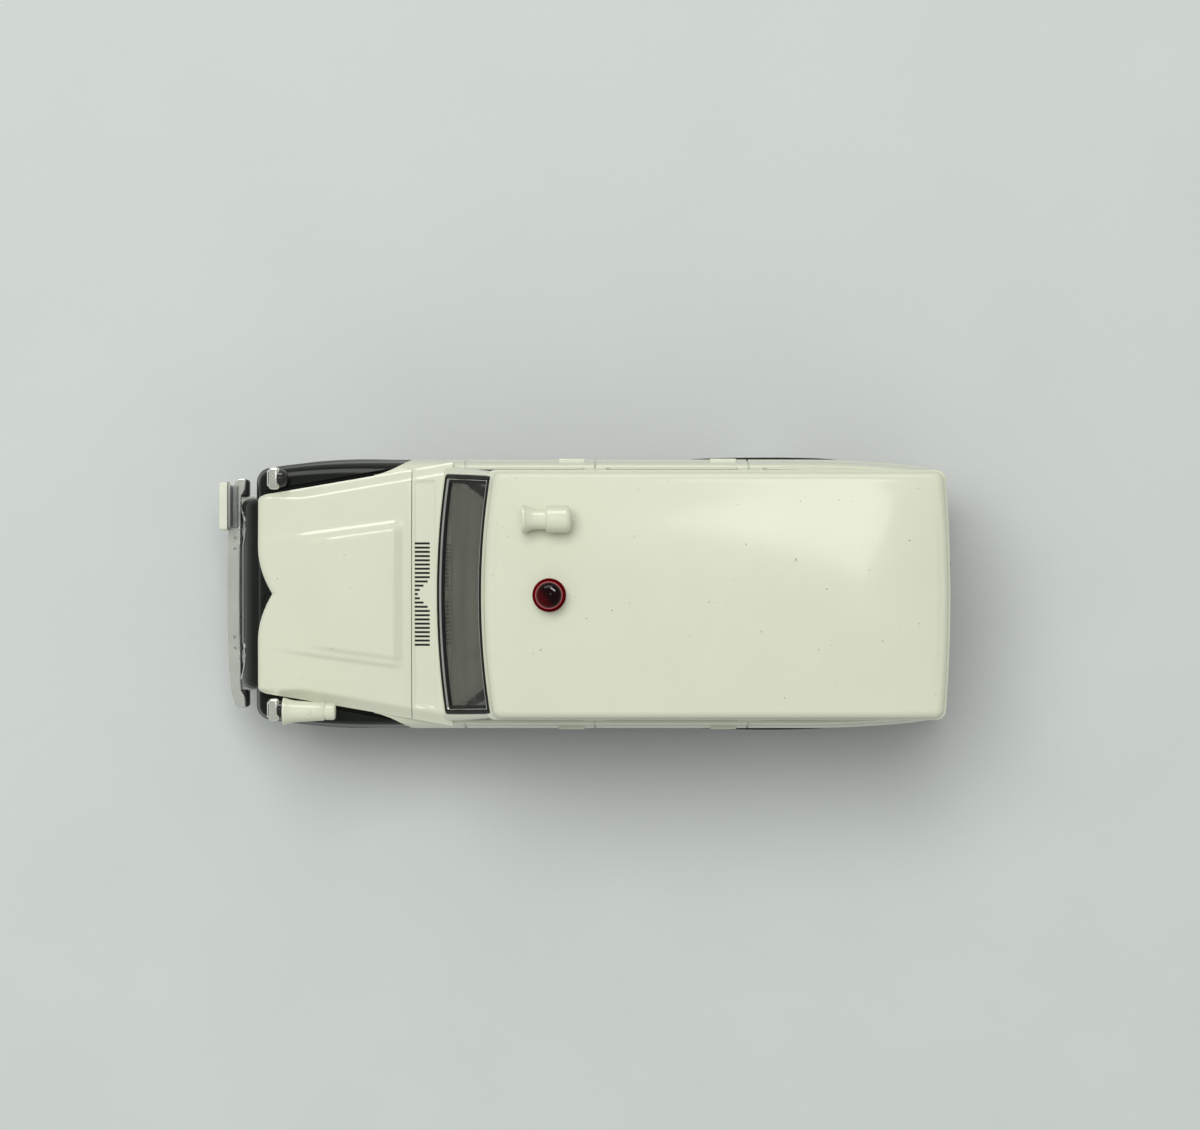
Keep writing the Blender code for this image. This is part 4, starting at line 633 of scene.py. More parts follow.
nose = loft(
    [
        [(x + back * (x < FENDER_FRONT), share * NOSE_HALF_WIDTH, z) for x, z in nose_side]
        for share, back in nose_stations
    ]
)
hollow = loft(body_levels([(SILL - 1.0, WALL), (FENDER_TOP - 0.75, WALL)]))
hollow = carve(hollow, box((NOSE - 3.0, FENDER_FRONT + WALL + 0.6), (-14.0, 14.0), (4.0, 18.0)))


def arch_cutters():
    """Rods through both pairs of wheel arches."""
    rod = [(0, 30), (ARCH_RADIUS, 30), (ARCH_RADIUS, -30), (0, -30)]
    return [turned(rod, "Y", (x, 0, AXLE_Z), 72) for x in AXLE_X]


HOOD_FRONT, HOOD_LINE = -32.18, -16.9
HOOD_FRONT_HALF, HOOD_SPREAD, HOOD_CORNER = 9.7, 2.6, 0.5
HOOD_EDGE, HOOD_GAP = 16.6, 0.42
NOTCH_DEPTH, NOTCH_REACH = 1.42, 4.7


def hood_half(x):
    """Half the hood's width at a station."""
    return HOOD_FRONT_HALF + HOOD_SPREAD * (x - HOOD_FRONT) / (HOOD_LINE - HOOD_FRONT)


def hood_front(y):
    """The hood's front edge at a distance from the middle: two lobes, a notch and round corners."""
    notch = NOTCH_DEPTH * max(0.0, 1 - abs(y) / NOTCH_REACH) ** 2
    corner = max(0.0, min(HOOD_CORNER, abs(y) - HOOD_FRONT_HALF + HOOD_CORNER))
    return HOOD_FRONT + notch + HOOD_CORNER - math.sqrt(HOOD_CORNER**2 - corner**2)


def tube(path, radius, sides=6, closed=False, out=(0.0, 1.0, 0.0)):
    """A round bar along a path of points, drawn through rings square to it. out lies across the path."""
    places = [Vector(place) for place in path]
    rings = []
    for i, place in enumerate(places):
        if closed:
            ahead = places[(i + 1) % len(places)] - places[i - 1]
        else:
            ahead = places[min(i + 1, len(places) - 1)] - places[max(i - 1, 0)]
        beside = ahead.cross(Vector(out)).normalized()
        above = beside.cross(ahead).normalized()
        turns = [math.tau * k / sides for k in range(sides)]
        rings.append([place + (beside * math.cos(a) + above * math.sin(a)) * radius for a in turns])
    return loft(rings + rings[:1], False) if closed else loft(rings)


def drawn_in(z):
    """How far the body's skin is drawn in at a height between the sill and the belt."""
    levels = [*SIDE_LEVELS, (CREASE, 0.0), (CREASE + 0.3, 0.14), (BELT - 1.4, 0.36), (BELT - 0.3, 0.56)]
    levels += [(BELT, 0.85)]
    for (low_z, low_in), (high_z, high_in) in zip(levels, levels[1:]):
        if z <= high_z:
            return low_in + (high_in - low_in) * (z - low_z) / (high_z - low_z)


def cabin_half_width(z):
    """Half the cabin's width at a height, from the belt to the gutter."""
    return BELT_HALF_WIDTH - CABIN_LEAN * (z - BELT) / (GUTTER - BELT)


def side_y(x, z):
    """How far out the body's side lies at a station and a height, from the sill to the gutter."""
    return cabin_half_width(z) if z > BELT else half_width(x) - drawn_in(z)


def tail_x(y, z):
    """How far back the body's tail lies at a distance from the middle and a height below the belt."""
    rear = TAIL - drawn_in(z)
    return rear - TAIL_BOW * (y / (half_width(rear) - drawn_in(z))) ** 2


def along(points, step=0.6):
    """Points every step or so along straight runs between corners."""
    path = []
    for (u0, v0), (u1, v1) in zip(points, points[1:]):
        count = max(1, round(math.hypot(u1 - u0, v1 - v0) / step))
        path += [(u0 + (u1 - u0) * i / count, v0 + (v1 - v0) * i / count) for i in range(count)]
    return path + [points[-1]]


DOOR_FRONT, DOOR_MIDDLE, DOOR_REAR = -11.7, 1.12, 16.27
DOOR_LOW, DOOR_TOP = SILL + 1.1, 26.4
DOOR_ARCH = ARCH_RADIUS + 1.5
SCORE_RADIUS = 0.1
arch_start = 180 - math.degrees(math.asin((DOOR_LOW - AXLE_Z) / DOOR_ARCH))
rear_arch_edge = arc(AXLE_X[1], AXLE_Z, DOOR_ARCH, arch_start, 103, 12)
door_runs = [
    [(DOOR_FRONT, 18.2), (DOOR_FRONT, DOOR_LOW + 0.7), (DOOR_FRONT + 0.7, DOOR_LOW), (DOOR_MIDDLE, DOOR_LOW)],
    [(DOOR_MIDDLE, DOOR_TOP), (DOOR_MIDDLE, DOOR_LOW), *rear_arch_edge, (DOOR_REAR, DOOR_TOP)],
]
tailgate_run = [(-9.3, BELT - 0.35), (-9.3, 9.9), (-8.8, 9.4), (8.8, 9.4), (9.3, 9.9), (9.3, BELT - 0.35)]
flap_run = rounded([(30.9, 13.2, 0.5), (27.6, 13.2, 0.5), (27.6, 10.8, 0.5), (30.9, 10.8, 0.5)], 4)


def door_lines():
    """Round cutters that score the lines of the doors, the tailgate and the filler flap into the skin."""
    cutters = []
    for run in door_runs:
        for side in (-1, 1):
            cutters.append(tube([(x, side * side_y(x, z), z) for x, z in along(run)], SCORE_RADIUS))
    cutters.append(tube([(x, side_y(x, z), z) for x, z in flap_run], SCORE_RADIUS, closed=True))
    gate = [(tail_x(y, z), y, z) for y, z in along(tailgate_run)]
    cutters.append(tube(gate, SCORE_RADIUS, out=(1.0, 0.0, 0.0)))
    return cutters


def dog_bone(grow):
    """The grille's outline across and up, let out by grow: a band with a round end at each headlamp."""
    radius = BONE_END + grow
    reach = 180 - math.degrees(math.asin((BONE_BAND + grow) / radius))
    right = arc(LAMP_Y, LAMP_Z, radius, -reach, reach, 28)
    return right + [(-y, 2 * LAMP_Z - z) for y, z in right]


channel_rear = HOOD_LINE + 3.5
channel_half = hood_half(channel_rear) + HOOD_GAP
channel = [
    (hood_front(share * HOOD_FRONT_HALF) - 0.7, share * (HOOD_FRONT_HALF + HOOD_GAP))
    for share in (k / 20 for k in range(-20, 21))
]
channel += [(channel_rear, channel_half), (channel_rear, -channel_half)]
hood_seat = prism(channel, FENDER_TOP - 0.5, 25.0, "Z")
grille_seat = prism(dog_bone(0.02), NOSE - 3.0, NOSE + 1.05, "X")
black_body = carve(lower, loft(fender_loops), nose, valance, operation="UNION")
black_body = carve(black_body, hood_seat, hollow, grille_seat, *arch_cutters(), *door_lines())
dress(black_body, "body_black_half", black_enamel, ["body_casting"])
LIP_SECTION = [(7.28, 12.6), (7.28, 13.45), (7.36, 13.56), (7.5, 13.6), (7.9, 13.58), (8.05, 13.5)]
LIP_SECTION += [(8.12, 13.3), (8.2, 12.6)]
FRONT_LIP_PROUD = 0.3
flares = []
for x in AXLE_X:
    for side in (-1, 1):
        lip = turned(LIP_SECTION, "Y", (x, 0, AXLE_Z), 96, True)
        for point in lip.verts:
            proud = point.co.y - BODY_HALF_WIDTH
            if x < 0 and proud > 0:
                proud *= FRONT_LIP_PROUD
            point.co.y = side * (half_width(point.co.x) + proud)
        bmesh.ops.recalc_face_normals(lip, faces=lip.faces)
        flares.append(carve(lip, box(around(x, 20), (-20, 20), (-10, AXLE_Z + 2.6))))
dress(merged(*flares), "wheel_arch_lips", black_enamel)


# Upper body: the white half of the casting, from the crease over the shoulders to the pillars and the roof,
# with a rolled gutter and the window openings. The front edge of the white sweeps out over the fenders.
SCREEN_X, SCREEN_BASE, SCREEN_SLOPE, SCREEN_BOW = -14.38, 19.2, 0.571, 0.94
CABIN_TAIL = TAIL - 0.85
CABIN_WALL = 0.9
ROOF_EDGE, ROOF_RADIUS, ROOF_CROWN = 27.8, 0.75, 0.5
ROOF_FALL, ROOF_FALL_X, ROOF_FALL_LENGTH = 0.6, 27.0, 7.75
REAR_CORNER_X, REAR_CORNER_DRAW = 19.0, 0.82
SHOULDER_FRONT, SHOULDER_X, SHOULDER_RUN = -22.0, -17.0, 5.5
SWEEP_X, SWEEP_Y, SWEEP_LENGTH, SWEEP_WIDTH, SWEEP_REAR = -20.7, 11.75, 3.9, 1.7, -16.8
SIDE_WINDOWS = ("front_door", "rear_door", "quarter")
WINDOW_LOW, WINDOW_HIGH, WINDOW_CORNER, SCREEN_CORNER = 18.7, 26.1, 0.7, 0.3
PILLAR_A, PILLAR_B, PILLAR_C, PILLAR_D = 1.5, (0.06, 2.18), (15.04, 17.5), 2.2
TAIL_WINDOW_HALF = 9.6


def cream_enamel(name, colour, **more):
    """The glossy off-white enamel of the casting's upper panels."""
    return finish(
        name, colour, 0.2, mottle=0.012, blotch=160.0, grain=2200.0, dent=0.003,
        sockets=[("Coat Weight", 0.5), ("Coat Roughness", 0.08)], **more,
    )


white_enamel = cream_enamel("white_enamel", (0.69, 0.71, 0.56), soften=0.08, specks=0.6)


def screen_x(z):
    """The windscreen's middle line at a height."""
    return SCREEN_X + (z - SCREEN_BASE) * SCREEN_SLOPE


def cabin_side(x, z):
    """How far out the cabin's side lies at a station and a height, drawn in at the rear corners' foot."""
    foot = min(1.0, max(0.0, (GUTTER - z) / (GUTTER - BELT)))
    behind = max(0.0, (x - REAR_CORNER_X) / (CABIN_TAIL - REAR_CORNER_X))
    return cabin_half_width(z) - REAR_CORNER_DRAW * foot * behind**2


def cabin_loop(z, inset=0.0, stands_out=0.0):
    """The cabin's outline at a height: a bowed screen, straight sides and a bowed tail."""
    front = screen_x(z) + inset * math.hypot(1.0, SCREEN_SLOPE)
    rear = CABIN_TAIL - inset + stands_out * 1.6
    grown = stands_out - inset
    half, tail_half = cabin_half_width(z) + grown, cabin_side(CABIN_TAIL, z) + grown
    radius = max(0.9 - inset, 0.4)
    shares = [k / 10 for k in range(-9, 10)]
    screen = [(front + SCREEN_BOW * share**2, -half * share, 0) for share in shares]
    tail = [(rear - TAIL_BOW * share**2, tail_half * share, 0) for share in shares]
    side = [(x, -cabin_side(x, z) - grown, 0) for x in (REAR_CORNER_X + 3.0 * k for k in range(5))]
    side = [(front + SCREEN_BOW, -half, radius), *side, (rear - TAIL_BOW, -tail_half, radius)]
    plan = rounded(side + tail + [(x, -y, r) for x, y, r in side[::-1]] + screen)
    return [(x, y, z) for x, y in plan]


def window_outline(window, shrink):
    """A window opening's rounded outline drawn in by shrink: along the body or across it, and up."""
    low, high = WINDOW_LOW + shrink, WINDOW_HIGH - shrink
    if window == "front_door":
        vent = screen_x(WINDOW_LOW) + SCREEN_BOW + PILLAR_A + shrink
        rear = PILLAR_B[0] - shrink
        corners = [(vent, low), (rear, low), (rear, high), (vent + SCREEN_SLOPE * (high - low), high)]
    elif window == "rear_door":
        ends = (PILLAR_B[1] + shrink, PILLAR_C[0] - shrink)
        corners = [(ends[0], low), (ends[1], low), (ends[1], high), (ends[0], high)]
    elif window == "quarter":
        ends = (PILLAR_C[1] + shrink, CABIN_TAIL - PILLAR_D - shrink)
        corners = [(ends[0], low), (ends[1], low), (ends[1] - 0.3, high), (ends[0], high)]
    elif window == "screen":
        low, high = SCREEN_BASE + shrink, ROOF_EDGE - 0.55 - shrink
        wide, top = cabin_half_width(low) - 0.6 - shrink, cabin_half_width(high) - 0.34 - shrink
        corners = [(-wide, low), (wide, low), (top, high), (-top, high)]
    else:
        wide = TAIL_WINDOW_HALF - shrink
        corners = [(-wide, low), (wide, low), (wide - 0.5, high), (0.5 - wide, high)]
    radius = SCREEN_CORNER if window == "screen" else WINDOW_CORNER
    return rounded([(u, z, max(radius - shrink, 0.15)) for u, z in corners])


def eased(share):
    """A share from 0 to 1 with a gentle start and end."""
    return share**2 * (3 - 2 * share)


shoulder_levels = [(CREASE - 0.5, 0.3), (CREASE - 0.25, 0.02), (CREASE, 0.0), (CREASE + 0.12, 0.05)]
shoulder_levels += [(CREASE + 0.3, 0.14), (BELT - 1.4, 0.36), (BELT - 0.6, 0.46), (BELT - 0.3, 0.56)]
shoulder_levels += [(BELT - 0.08, 0.68), (BELT, 0.85)]
fender_like = [(CREASE - 0.5, 0.3), (CREASE - 0.25, 0.0), (CREASE, -0.02), (CREASE + 0.12, 0.02)]
fender_like += [(CREASE + 0.3, 0.11), *fender_round((12, 38, 62, 78, 90), 0.68, 0.27)]
shoulder_loops = []
boxy_loops = body_levels(shoulder_levels, front=SHOULDER_FRONT)
low_loops = body_levels(fender_like, front=SHOULDER_FRONT)
for boxy, low in zip(boxy_loops, low_loops):
    loop = []
    for (x0, y0, z0), (x1, y1, z1) in zip(boxy, low):
        z1 += fender_lift(x1, z1)
        share = eased(min(1.0, max(0.0, (x0 - SHOULDER_X) / SHOULDER_RUN)))
        loop.append((x1 + (x0 - x1) * share, y1 + (y0 - y1) * share, z1 + (z0 - z1) * share))
    shoulder_loops.append(loop)
sweep = []
for share in (k / 16 for k in range(17)):
    back = SWEEP_LENGTH * share**1.4 * (2.2 - 1.2 * share)
    sweep.append((SWEEP_X + back, SWEEP_Y + SWEEP_WIDTH * eased(share)))
left_sweep = [(x, -y) for x, y in sweep[::-1]]
sweep_cut = [(-30, -15), (SWEEP_REAR, -15), *left_sweep, *sweep, (SWEEP_REAR, 15), (-30, 15)]
shoulders = carve(loft(shoulder_loops), prism(sweep_cut, 10.0, 25.0, "Z"))
GUTTER_SECTION = [(0.0, 0.16), (0.08, 0.25), (0.4, 0.25), (0.5, 0.18), (0.55, 0.1)]
roof_loops = [cabin_loop(BELT - 1.3), cabin_loop(GUTTER - 0.05)]
roof_loops += [cabin_loop(GUTTER + up, stands_out=out) for up, out in GUTTER_SECTION]


def roof_fall(x):
    """How far the roof has curved down towards the tail at a station."""
    return ROOF_FALL * max(0.0, (x - ROOF_FALL_X) / ROOF_FALL_LENGTH) ** 2


for bend in (math.radians(10 * step) for step in range(10)):
    edge = cabin_loop(ROOF_EDGE, ROOF_RADIUS * (1 - math.cos(bend)), 0.1)
    roof_loops.append([(x, y, ROOF_EDGE - roof_fall(x) + ROOF_RADIUS * math.sin(bend)) for x, y, z in edge])
roof_top = ROOF_EDGE + ROOF_RADIUS
roof_mid = (screen_x(ROOF_EDGE) + CABIN_TAIL) / 2
roof_half_length = (CABIN_TAIL - screen_x(ROOF_EDGE)) / 2
roof_half_width = cabin_half_width(ROOF_EDGE) - ROOF_RADIUS


def roof_z(x, y):
    """Height of the roof's crown at a place."""
    u, v = (x - roof_mid) / roof_half_length, y / roof_half_width
    return roof_top - roof_fall(x) + ROOF_CROWN * max(0.0, 1 - v**2) * max(0.0, 1 - u**6)


for share in (0.99, 0.975, 0.95, 0.92, 0.88, 0.82, 0.75, 0.66, 0.56, 0.45, 0.33, 0.2, 0.08):
    ring = [(roof_mid + (x - roof_mid) * share, y * share) for x, y, z in edge]
    roof_loops.append([(x, y, roof_z(x, y)) for x, y in ring])
inside = loft([cabin_loop(z, CABIN_WALL) for z in (BELT - 0.6, GUTTER, ROOF_EDGE - 0.3)])
belt_half = BELT_HALF_WIDTH - CABIN_WALL
belt_inside = box((screen_x(BELT) + 1.15, TAIL - 2.0), around(0.0, belt_half), (CREASE - 1.0, BELT - 0.2))
openings = [prism(window_outline(window, 0.0), -30.0, 30.0, "Y") for window in SIDE_WINDOWS]
openings.append(prism(window_outline("screen", 0.0), -29.0, -4.0, "X"))
openings.append(prism(window_outline("tail", 0.0), TAIL - 5.0, TAIL + 5.0, "X"))
white_body = carve(shoulders, loft(roof_loops), operation="UNION")
white_body = carve(white_body, inside, belt_inside, *openings, *arch_cutters(), *door_lines())
dress(white_body, "body_white_half", white_enamel, ["body_casting"])
handles = []
for door_end in (PILLAR_B[0], PILLAR_C[0]):
    for side in (-1, 1):
        across = around(side * (BODY_HALF_WIDTH - 0.3), 0.35)
        handles.append(box((door_end - 2.6, door_end + 0.1), across, (CREASE + 0.9, CREASE + 1.5), 0.2, 4))
dress(merged(*handles), "door_handles", white_enamel)


# Hood and cowl: white panels of the casting. The hood has sloped flanks, a raised centre that fades towards
# the two-lobed front edge, and a shut line behind it. The cowl is pierced by a row of louvres cut to a notch.
FLANK_HEIGHT, FLANK_WIDTH = 0.85, 1.1
FLARE_X, FLARE_LENGTH, FLARE_SHARE = -28.0, 2.8, 0.6
SHUT_LINE_DEPTH, SHUT_LINE_REACH, SHUT_LINE_GAP = 0.07, 0.42, 0.035
HOOD_CROWN = 0.2
FRONT_DROP, FRONT_ROLL = 0.5, 0.8
BULGE_STEPS = [(0.24, -31.4, 4.6, 0.1, 0.0), (0.2, -27.6, 2.5, 0.2, 0.8)]
BULGE_X, BULGE_HALF, BULGE_SPREAD, BULGE_RUN = -27.0, 6.2, 1.15, 8.5
BULGE_FLANK, BULGE_REAR, BULGE_FADE = 0.4, -17.75, 0.95
COWL_REAR, COWL_DEPTH = -12.9, 0.5
SUNK_FRONT, SUNK_REAR, SUNK_HALF, SUNK_DEPTH, SUNK_EASE = -16.7, -14.5, 11.2, 0.15, 0.2
LOUVRES, LOUVRE_PITCH, LOUVRE_WIDTH = 25, 0.415, 0.215
LOUVRE_FRONT, LOUVRE_LENGTH = -16.6, 1.48
NOTCH_LENGTHS = {0: 0.3, 1: 0.5, 2: 0.86, 3: 1.27}


def ramp(t, soft):
    """0 below 0 and t above it, with the bend eased over soft on both sides."""
    if t <= -soft:
        return 0.0
    return t if t >= soft else (t + soft) ** 2 / (4 * soft)


def slope(t, soft=0.18):
    """Climbs from 0 to 1 with eased bends at both ends."""
    return ramp(t, soft) - ramp(t - 1, soft)


def bonnet_z(x, y):
    """Height of the hood and the cowl at a place, with the raised centre and the cowl's sunk panel."""
    edge = hood_half(x) - abs(y)
    z = HOOD_EDGE + HOOD_RISE * (x - HOOD_FRONT)
    flare = 1 - FLARE_SHARE * slope((FLARE_X - x) / FLARE_LENGTH, 0.3)
    z += FLANK_HEIGHT - FLANK_HEIGHT * flare * (1 - slope(edge / (FLANK_WIDTH * flare), 0.16))
    z -= SHUT_LINE_DEPTH * (1 - slope(abs(x - HOOD_LINE) / SHUT_LINE_REACH))
    z += HOOD_CROWN * (1 - (y / hood_half(x)) ** 2)
    ahead = max(0.0, 1 - (x - hood_front(y)) / FRONT_ROLL)
    z -= FRONT_DROP * (1 - math.sqrt(max(0.0, 1 - ahead**2)))
    flank = BULGE_HALF + BULGE_SPREAD * (x - BULGE_X) / BULGE_RUN - abs(y)
    bulge = 0.0
    for rise, start, length, soft, inset in BULGE_STEPS:
        bulge += rise * slope((x - start) / length, soft) * slope((flank - inset) / BULGE_FLANK, 0.3)
    z += bulge * slope((BULGE_REAR - x) / BULGE_FADE)
    sunk = min(SUNK_HALF - abs(y), SUNK_REAR - x, x - SUNK_FRONT)
    return z - SUNK_DEPTH * slope(sunk / SUNK_EASE)


def bonnet_panel(front, rear, columns, rows, lift=0.0):
    """A panel of the bonnet between a front edge and a rear line, raised by lift."""
    panel = bmesh.new()
    bmesh.ops.create_grid(panel, x_segments=rows, y_segments=columns, size=1.0)
    for point in panel.verts:
        share = point.co.y
        start = front(share * HOOD_FRONT_HALF)
        x = start + (rear - start) * (point.co.x + 1) / 2
        y = share * hood_half(x)
        point.co = (x, y, bonnet_z(x, y) + lift)
    return panel


def deepened(panel, depth=None, floor=None):
    """A panel given a depth, or walls down to a flat floor."""
    grown = bmesh.ops.extrude_face_region(panel, geom=panel.faces[:])["geom"]
    for point in points_in(grown):
        point.co.z = floor if depth is None else point.co.z - depth
    bmesh.ops.recalc_face_normals(panel, faces=panel.faces)
    return panel


hood = deepened(bonnet_panel(hood_front, HOOD_LINE - SHUT_LINE_GAP, 160, 170), floor=FENDER_TOP - 0.56)
dress(hood, "hood_panel", white_enamel, ["body_casting"])
cowl_white = cream_enamel("cowl_enamel", (0.70, 0.72, 0.57))
cowl = deepened(bonnet_panel(lambda y: HOOD_LINE + SHUT_LINE_GAP, COWL_REAR, 140, 40), COWL_DEPTH)
slots = []
for i in range(-(LOUVRES // 2), LOUVRES // 2 + 1):
    rear = LOUVRE_FRONT + NOTCH_LENGTHS.get(abs(i), LOUVRE_LENGTH)
    slots.append(box((LOUVRE_FRONT, rear), around(i * LOUVRE_PITCH, LOUVRE_WIDTH / 2), (17.0, 20.0)))
dress(carve(cowl, merged(*slots)), "cowl_panel", cowl_white, ["body_casting"])
backing = bonnet_panel(lambda y: LOUVRE_FRONT - 0.1, LOUVRE_FRONT + LOUVRE_LENGTH + 0.1, 40, 8, -0.16)
for point in backing.verts:
    point.co.y *= 0.5
dress(deepened(backing, 0.2), "louvre_backing", satin_black)


# Glazing: one smoked clear moulding on the toy, pressed in from behind. Each pane fills its opening a little
# below the surface, with a black rubber seal moulded round it and a thin bright trim in the windscreen's.
PANE_DEPTH, PANE_THICK, PANE_LAP = 0.25, 0.35, 0.12
PANE_STEP, PANE_MIDDLE = 1.15, 22.0
SEAL_WIDTH, SEAL_PROUD, SEAL_DEPTH = 0.42, 0.06, PANE_DEPTH + 0.1
TRIM_WIDTH = 0.07
EDGE_SPLITS = 16
seal_black = finish(
    "seal_black", (0.010, 0.010, 0.010), 0.4, mottle=0.2, grain=6000.0, dent=0.008, sockets=[("IOR", 1.25)]
)
chrome = finish("bright_plating", (0.76, 0.78, 0.74), 0.14, 1.0, blotch=900.0, grain=3000.0, dent=0.001)
smoked = finish(
    "smoked_glazing", (0.40, 0.40, 0.37), 0.04, mottle=0.22, blotch=420.0, dent=0.0,
    stretch=(1.0, 0.14, 1.0), sockets=[("Transmission Weight", 0.9), ("IOR", 1.45)],
)


def on_window(window, side, u, z, depth):
    """The place on a window's surface across or along the body at u and up at z, depth below the surface."""
    if window == "screen":
        bow = SCREEN_BOW * (u / cabin_half_width(z)) ** 2
        return (screen_x(z) + bow + depth * math.hypot(1.0, SCREEN_SLOPE), u, z)
    if window == "tail":
        return (CABIN_TAIL - TAIL_BOW * (u / cabin_half_width(z)) ** 2 - depth, u, z)
    return (u, side * (cabin_side(u, z) - depth), z)


def finely(outline):
    """A window outline with its four straight runs split, so that it follows a bowed surface."""
    points = []
    for i, (u, z) in enumerate(outline):
        points.append((u, z))
        if i % 9 == 8:
            u1, z1 = outline[(i + 1) % len(outline)]
            shares = [k / EDGE_SPLITS for k in range(1, EDGE_SPLITS)]
            points += [(u + (u1 - u) * share, z + (z1 - z) * share) for share in shares]
    return points


def window_ring(window, side, outer, inner, proud):
    """A band laid round a window between two distances from its opening's edge, with eased edges."""
    ease = 0.25 * (inner - outer)
    section = [(outer, SEAL_DEPTH), (outer, ease - proud), (outer + ease, -proud), (inner - ease, -proud)]
    section += [(inner, ease - proud), (inner, SEAL_DEPTH)]
    rings = []
    for shrink, depth in section:
        outline = finely(window_outline(window, shrink))
        rings.append([on_window(window, side, u, z, depth) for u, z in outline])
    return loft(rings + rings[:1], False)


panes, seals = [], []
for window in (*SIDE_WINDOWS, "screen", "tail"):
    side_window = window in SIDE_WINDOWS
    for side in (-1, 1) if side_window else (1,):
        pane = bmesh.new()
        edge_points = [pane.verts.new((u, 0, z)) for u, z in finely(window_outline(window, -PANE_LAP))]
        pane.faces.new(edge_points)
        if not side_window:
            split(pane, [(k * PANE_STEP, 0, 0) for k in range(-9, 10)], (1, 0, 0))
        for point in pane.verts:
            point.co = on_window(window, side, point.co.x, point.co.z, PANE_DEPTH)
        bmesh.ops.recalc_face_normals(pane, faces=pane.faces)
        outer, inner = (Vector(on_window(window, side, 0, PANE_MIDDLE, depth)) for depth in (-1, 1))
        if pane.faces[:][0].normal.dot(outer - inner) < 0:
            bmesh.ops.reverse_faces(pane, faces=pane.faces)
        bmesh.ops.solidify(pane, geom=pane.faces[:], thickness=PANE_THICK)
        panes.append(pane)
        if window == "screen":
            seals.append(window_ring(window, side, -0.04, SEAL_WIDTH, SEAL_PROUD))
            seals.append(window_ring(window, side, SEAL_WIDTH + TRIM_WIDTH, SEAL_WIDTH + 0.4, -0.08))
        else:
            seals.append(window_ring(window, side, -0.02, 0.24, -0.18 if side_window else -0.08))
dress(merged(*panes), "glazing_panes", smoked, ["window_glazing"])
dress(merged(*seals), "window_seals", seal_black)
bright_line = window_ring("screen", 1, SEAL_WIDTH, SEAL_WIDTH + TRIM_WIDTH, 0.02)
dress(bright_line, "screen_trim", chrome)


# Grille: a dark insert pressed into the dog-bone seat of the nose, with horizontal bars between the
# headlamps, a thin plated rim line that follows the nose's slope, and a round plated bezel and clear lens at
# each end.
GRILLE_FRONT, GRILLE_BAR_BACK = -33.9, -33.55
BAR_REACH, BAR_PITCH, BAR_HALF, POST_HALF = LAMP_Y - 2.6, 0.62, 0.17, 0.16
LENS_RADIUS, LENS_BULGE = 1.6, 0.42
FLUTE, FLUTE_DEPTH = 0.46, 0.03
grille_grey = finish("grille_grey", (0.035, 0.035, 0.034), 0.4, mottle=0.2, grain=6000.0, dent=0.01)
clear_lens = finish(
    "clear_lens", (0.90, 0.92, 0.90), 0.04, mottle=0.03, blotch=500.0, grain=1600.0,
    sockets=[("Transmission Weight", 0.92), ("IOR", 1.45)],
)


def nose_x(z):
    """The front face of the nose at a height."""
    for (back, low_z), (next_back, high_z) in zip(NOSE_BOW, NOSE_BOW[1:]):
        if low_z < z <= high_z:
            return NOSE + back + (next_back - back) * (z - low_z) / (high_z - low_z)
    return NOSE


bars = [prism(dog_bone(-0.02), GRILLE_FRONT + 0.3, GRILLE_FRONT + 0.6, "X")]
for row in (-2, -1, 0, 1, 2):
    up = around(LAMP_Z + row * BAR_PITCH, BAR_HALF)
    bars.append(box((GRILLE_FRONT, GRILLE_BAR_BACK), around(0.0, BAR_REACH), up, 0.07, 2))
for y in (-BAR_REACH, 0.0, BAR_REACH):
    bars.append(
        box((GRILLE_FRONT + 0.08, GRILLE_BAR_BACK), around(y, POST_HALF), around(LAMP_Z, 1.45), 0.05, 2)
    )
dress(merged(*bars), "grille_bars", grille_grey, ["grille_insert"])
rim_path = [(nose_x(z) - 0.02, y, z) for y, z in dog_bone(0.1)]
rim_line = tube(rim_path, 0.1, 8, True, (1.0, 0.0, 0.0))
dress(rim_line, "grille_rim_line", chrome)
bezel = [(1.88, 0.14), (1.88, -0.02), (1.82, -0.1), (1.7, -0.1), (1.62, 0.0), (1.62, 0.14)]
dish = [(0, 0.3), (1.75, 0.3), (1.75, 0.12), (1.6, 0.12), (1.3, 0.16), (0.9, 0.21), (0.4, 0.24), (0.34, 0.1)]
dish += [(0, 0.02)]
lens = [(0, -0.05), (0.9, 0.0), (1.4, 0.06), (LENS_RADIUS, 0.1), (LENS_RADIUS, 0.0)]
for share in (1 - k / 18 for k in range(1, 19)):
    lens.append((LENS_RADIUS * share, -LENS_BULGE * (1 - share**2) - 0.01))
for side, name in ((-1, "left"), (1, "right")):
    seat = (GRILLE_FRONT, side * LAMP_Y, LAMP_Z)
    bowl = merged(turned(bezel, "X", seat, 64, True), turned(dish, "X", seat, 64))
    dress(bowl, f"headlamp_bezel_{name}", chrome)
    glass = turned(lens, "X", seat, 96)
    for point in glass.verts:
        across = point.co.y - seat[1]
        share = math.hypot(across, point.co.z - seat[2]) / LENS_RADIUS
        if point.co.x < GRILLE_FRONT - LENS_BULGE * (1 - share**2):
            ripple = (1 - math.cos(math.tau * across / FLUTE)) / 2
            point.co.x += FLUTE_DEPTH * (1 - share**6) * ripple
    dress(glass, f"headlamp_glass_{name}", clear_lens, [f"headlamp_lens_{name}"])


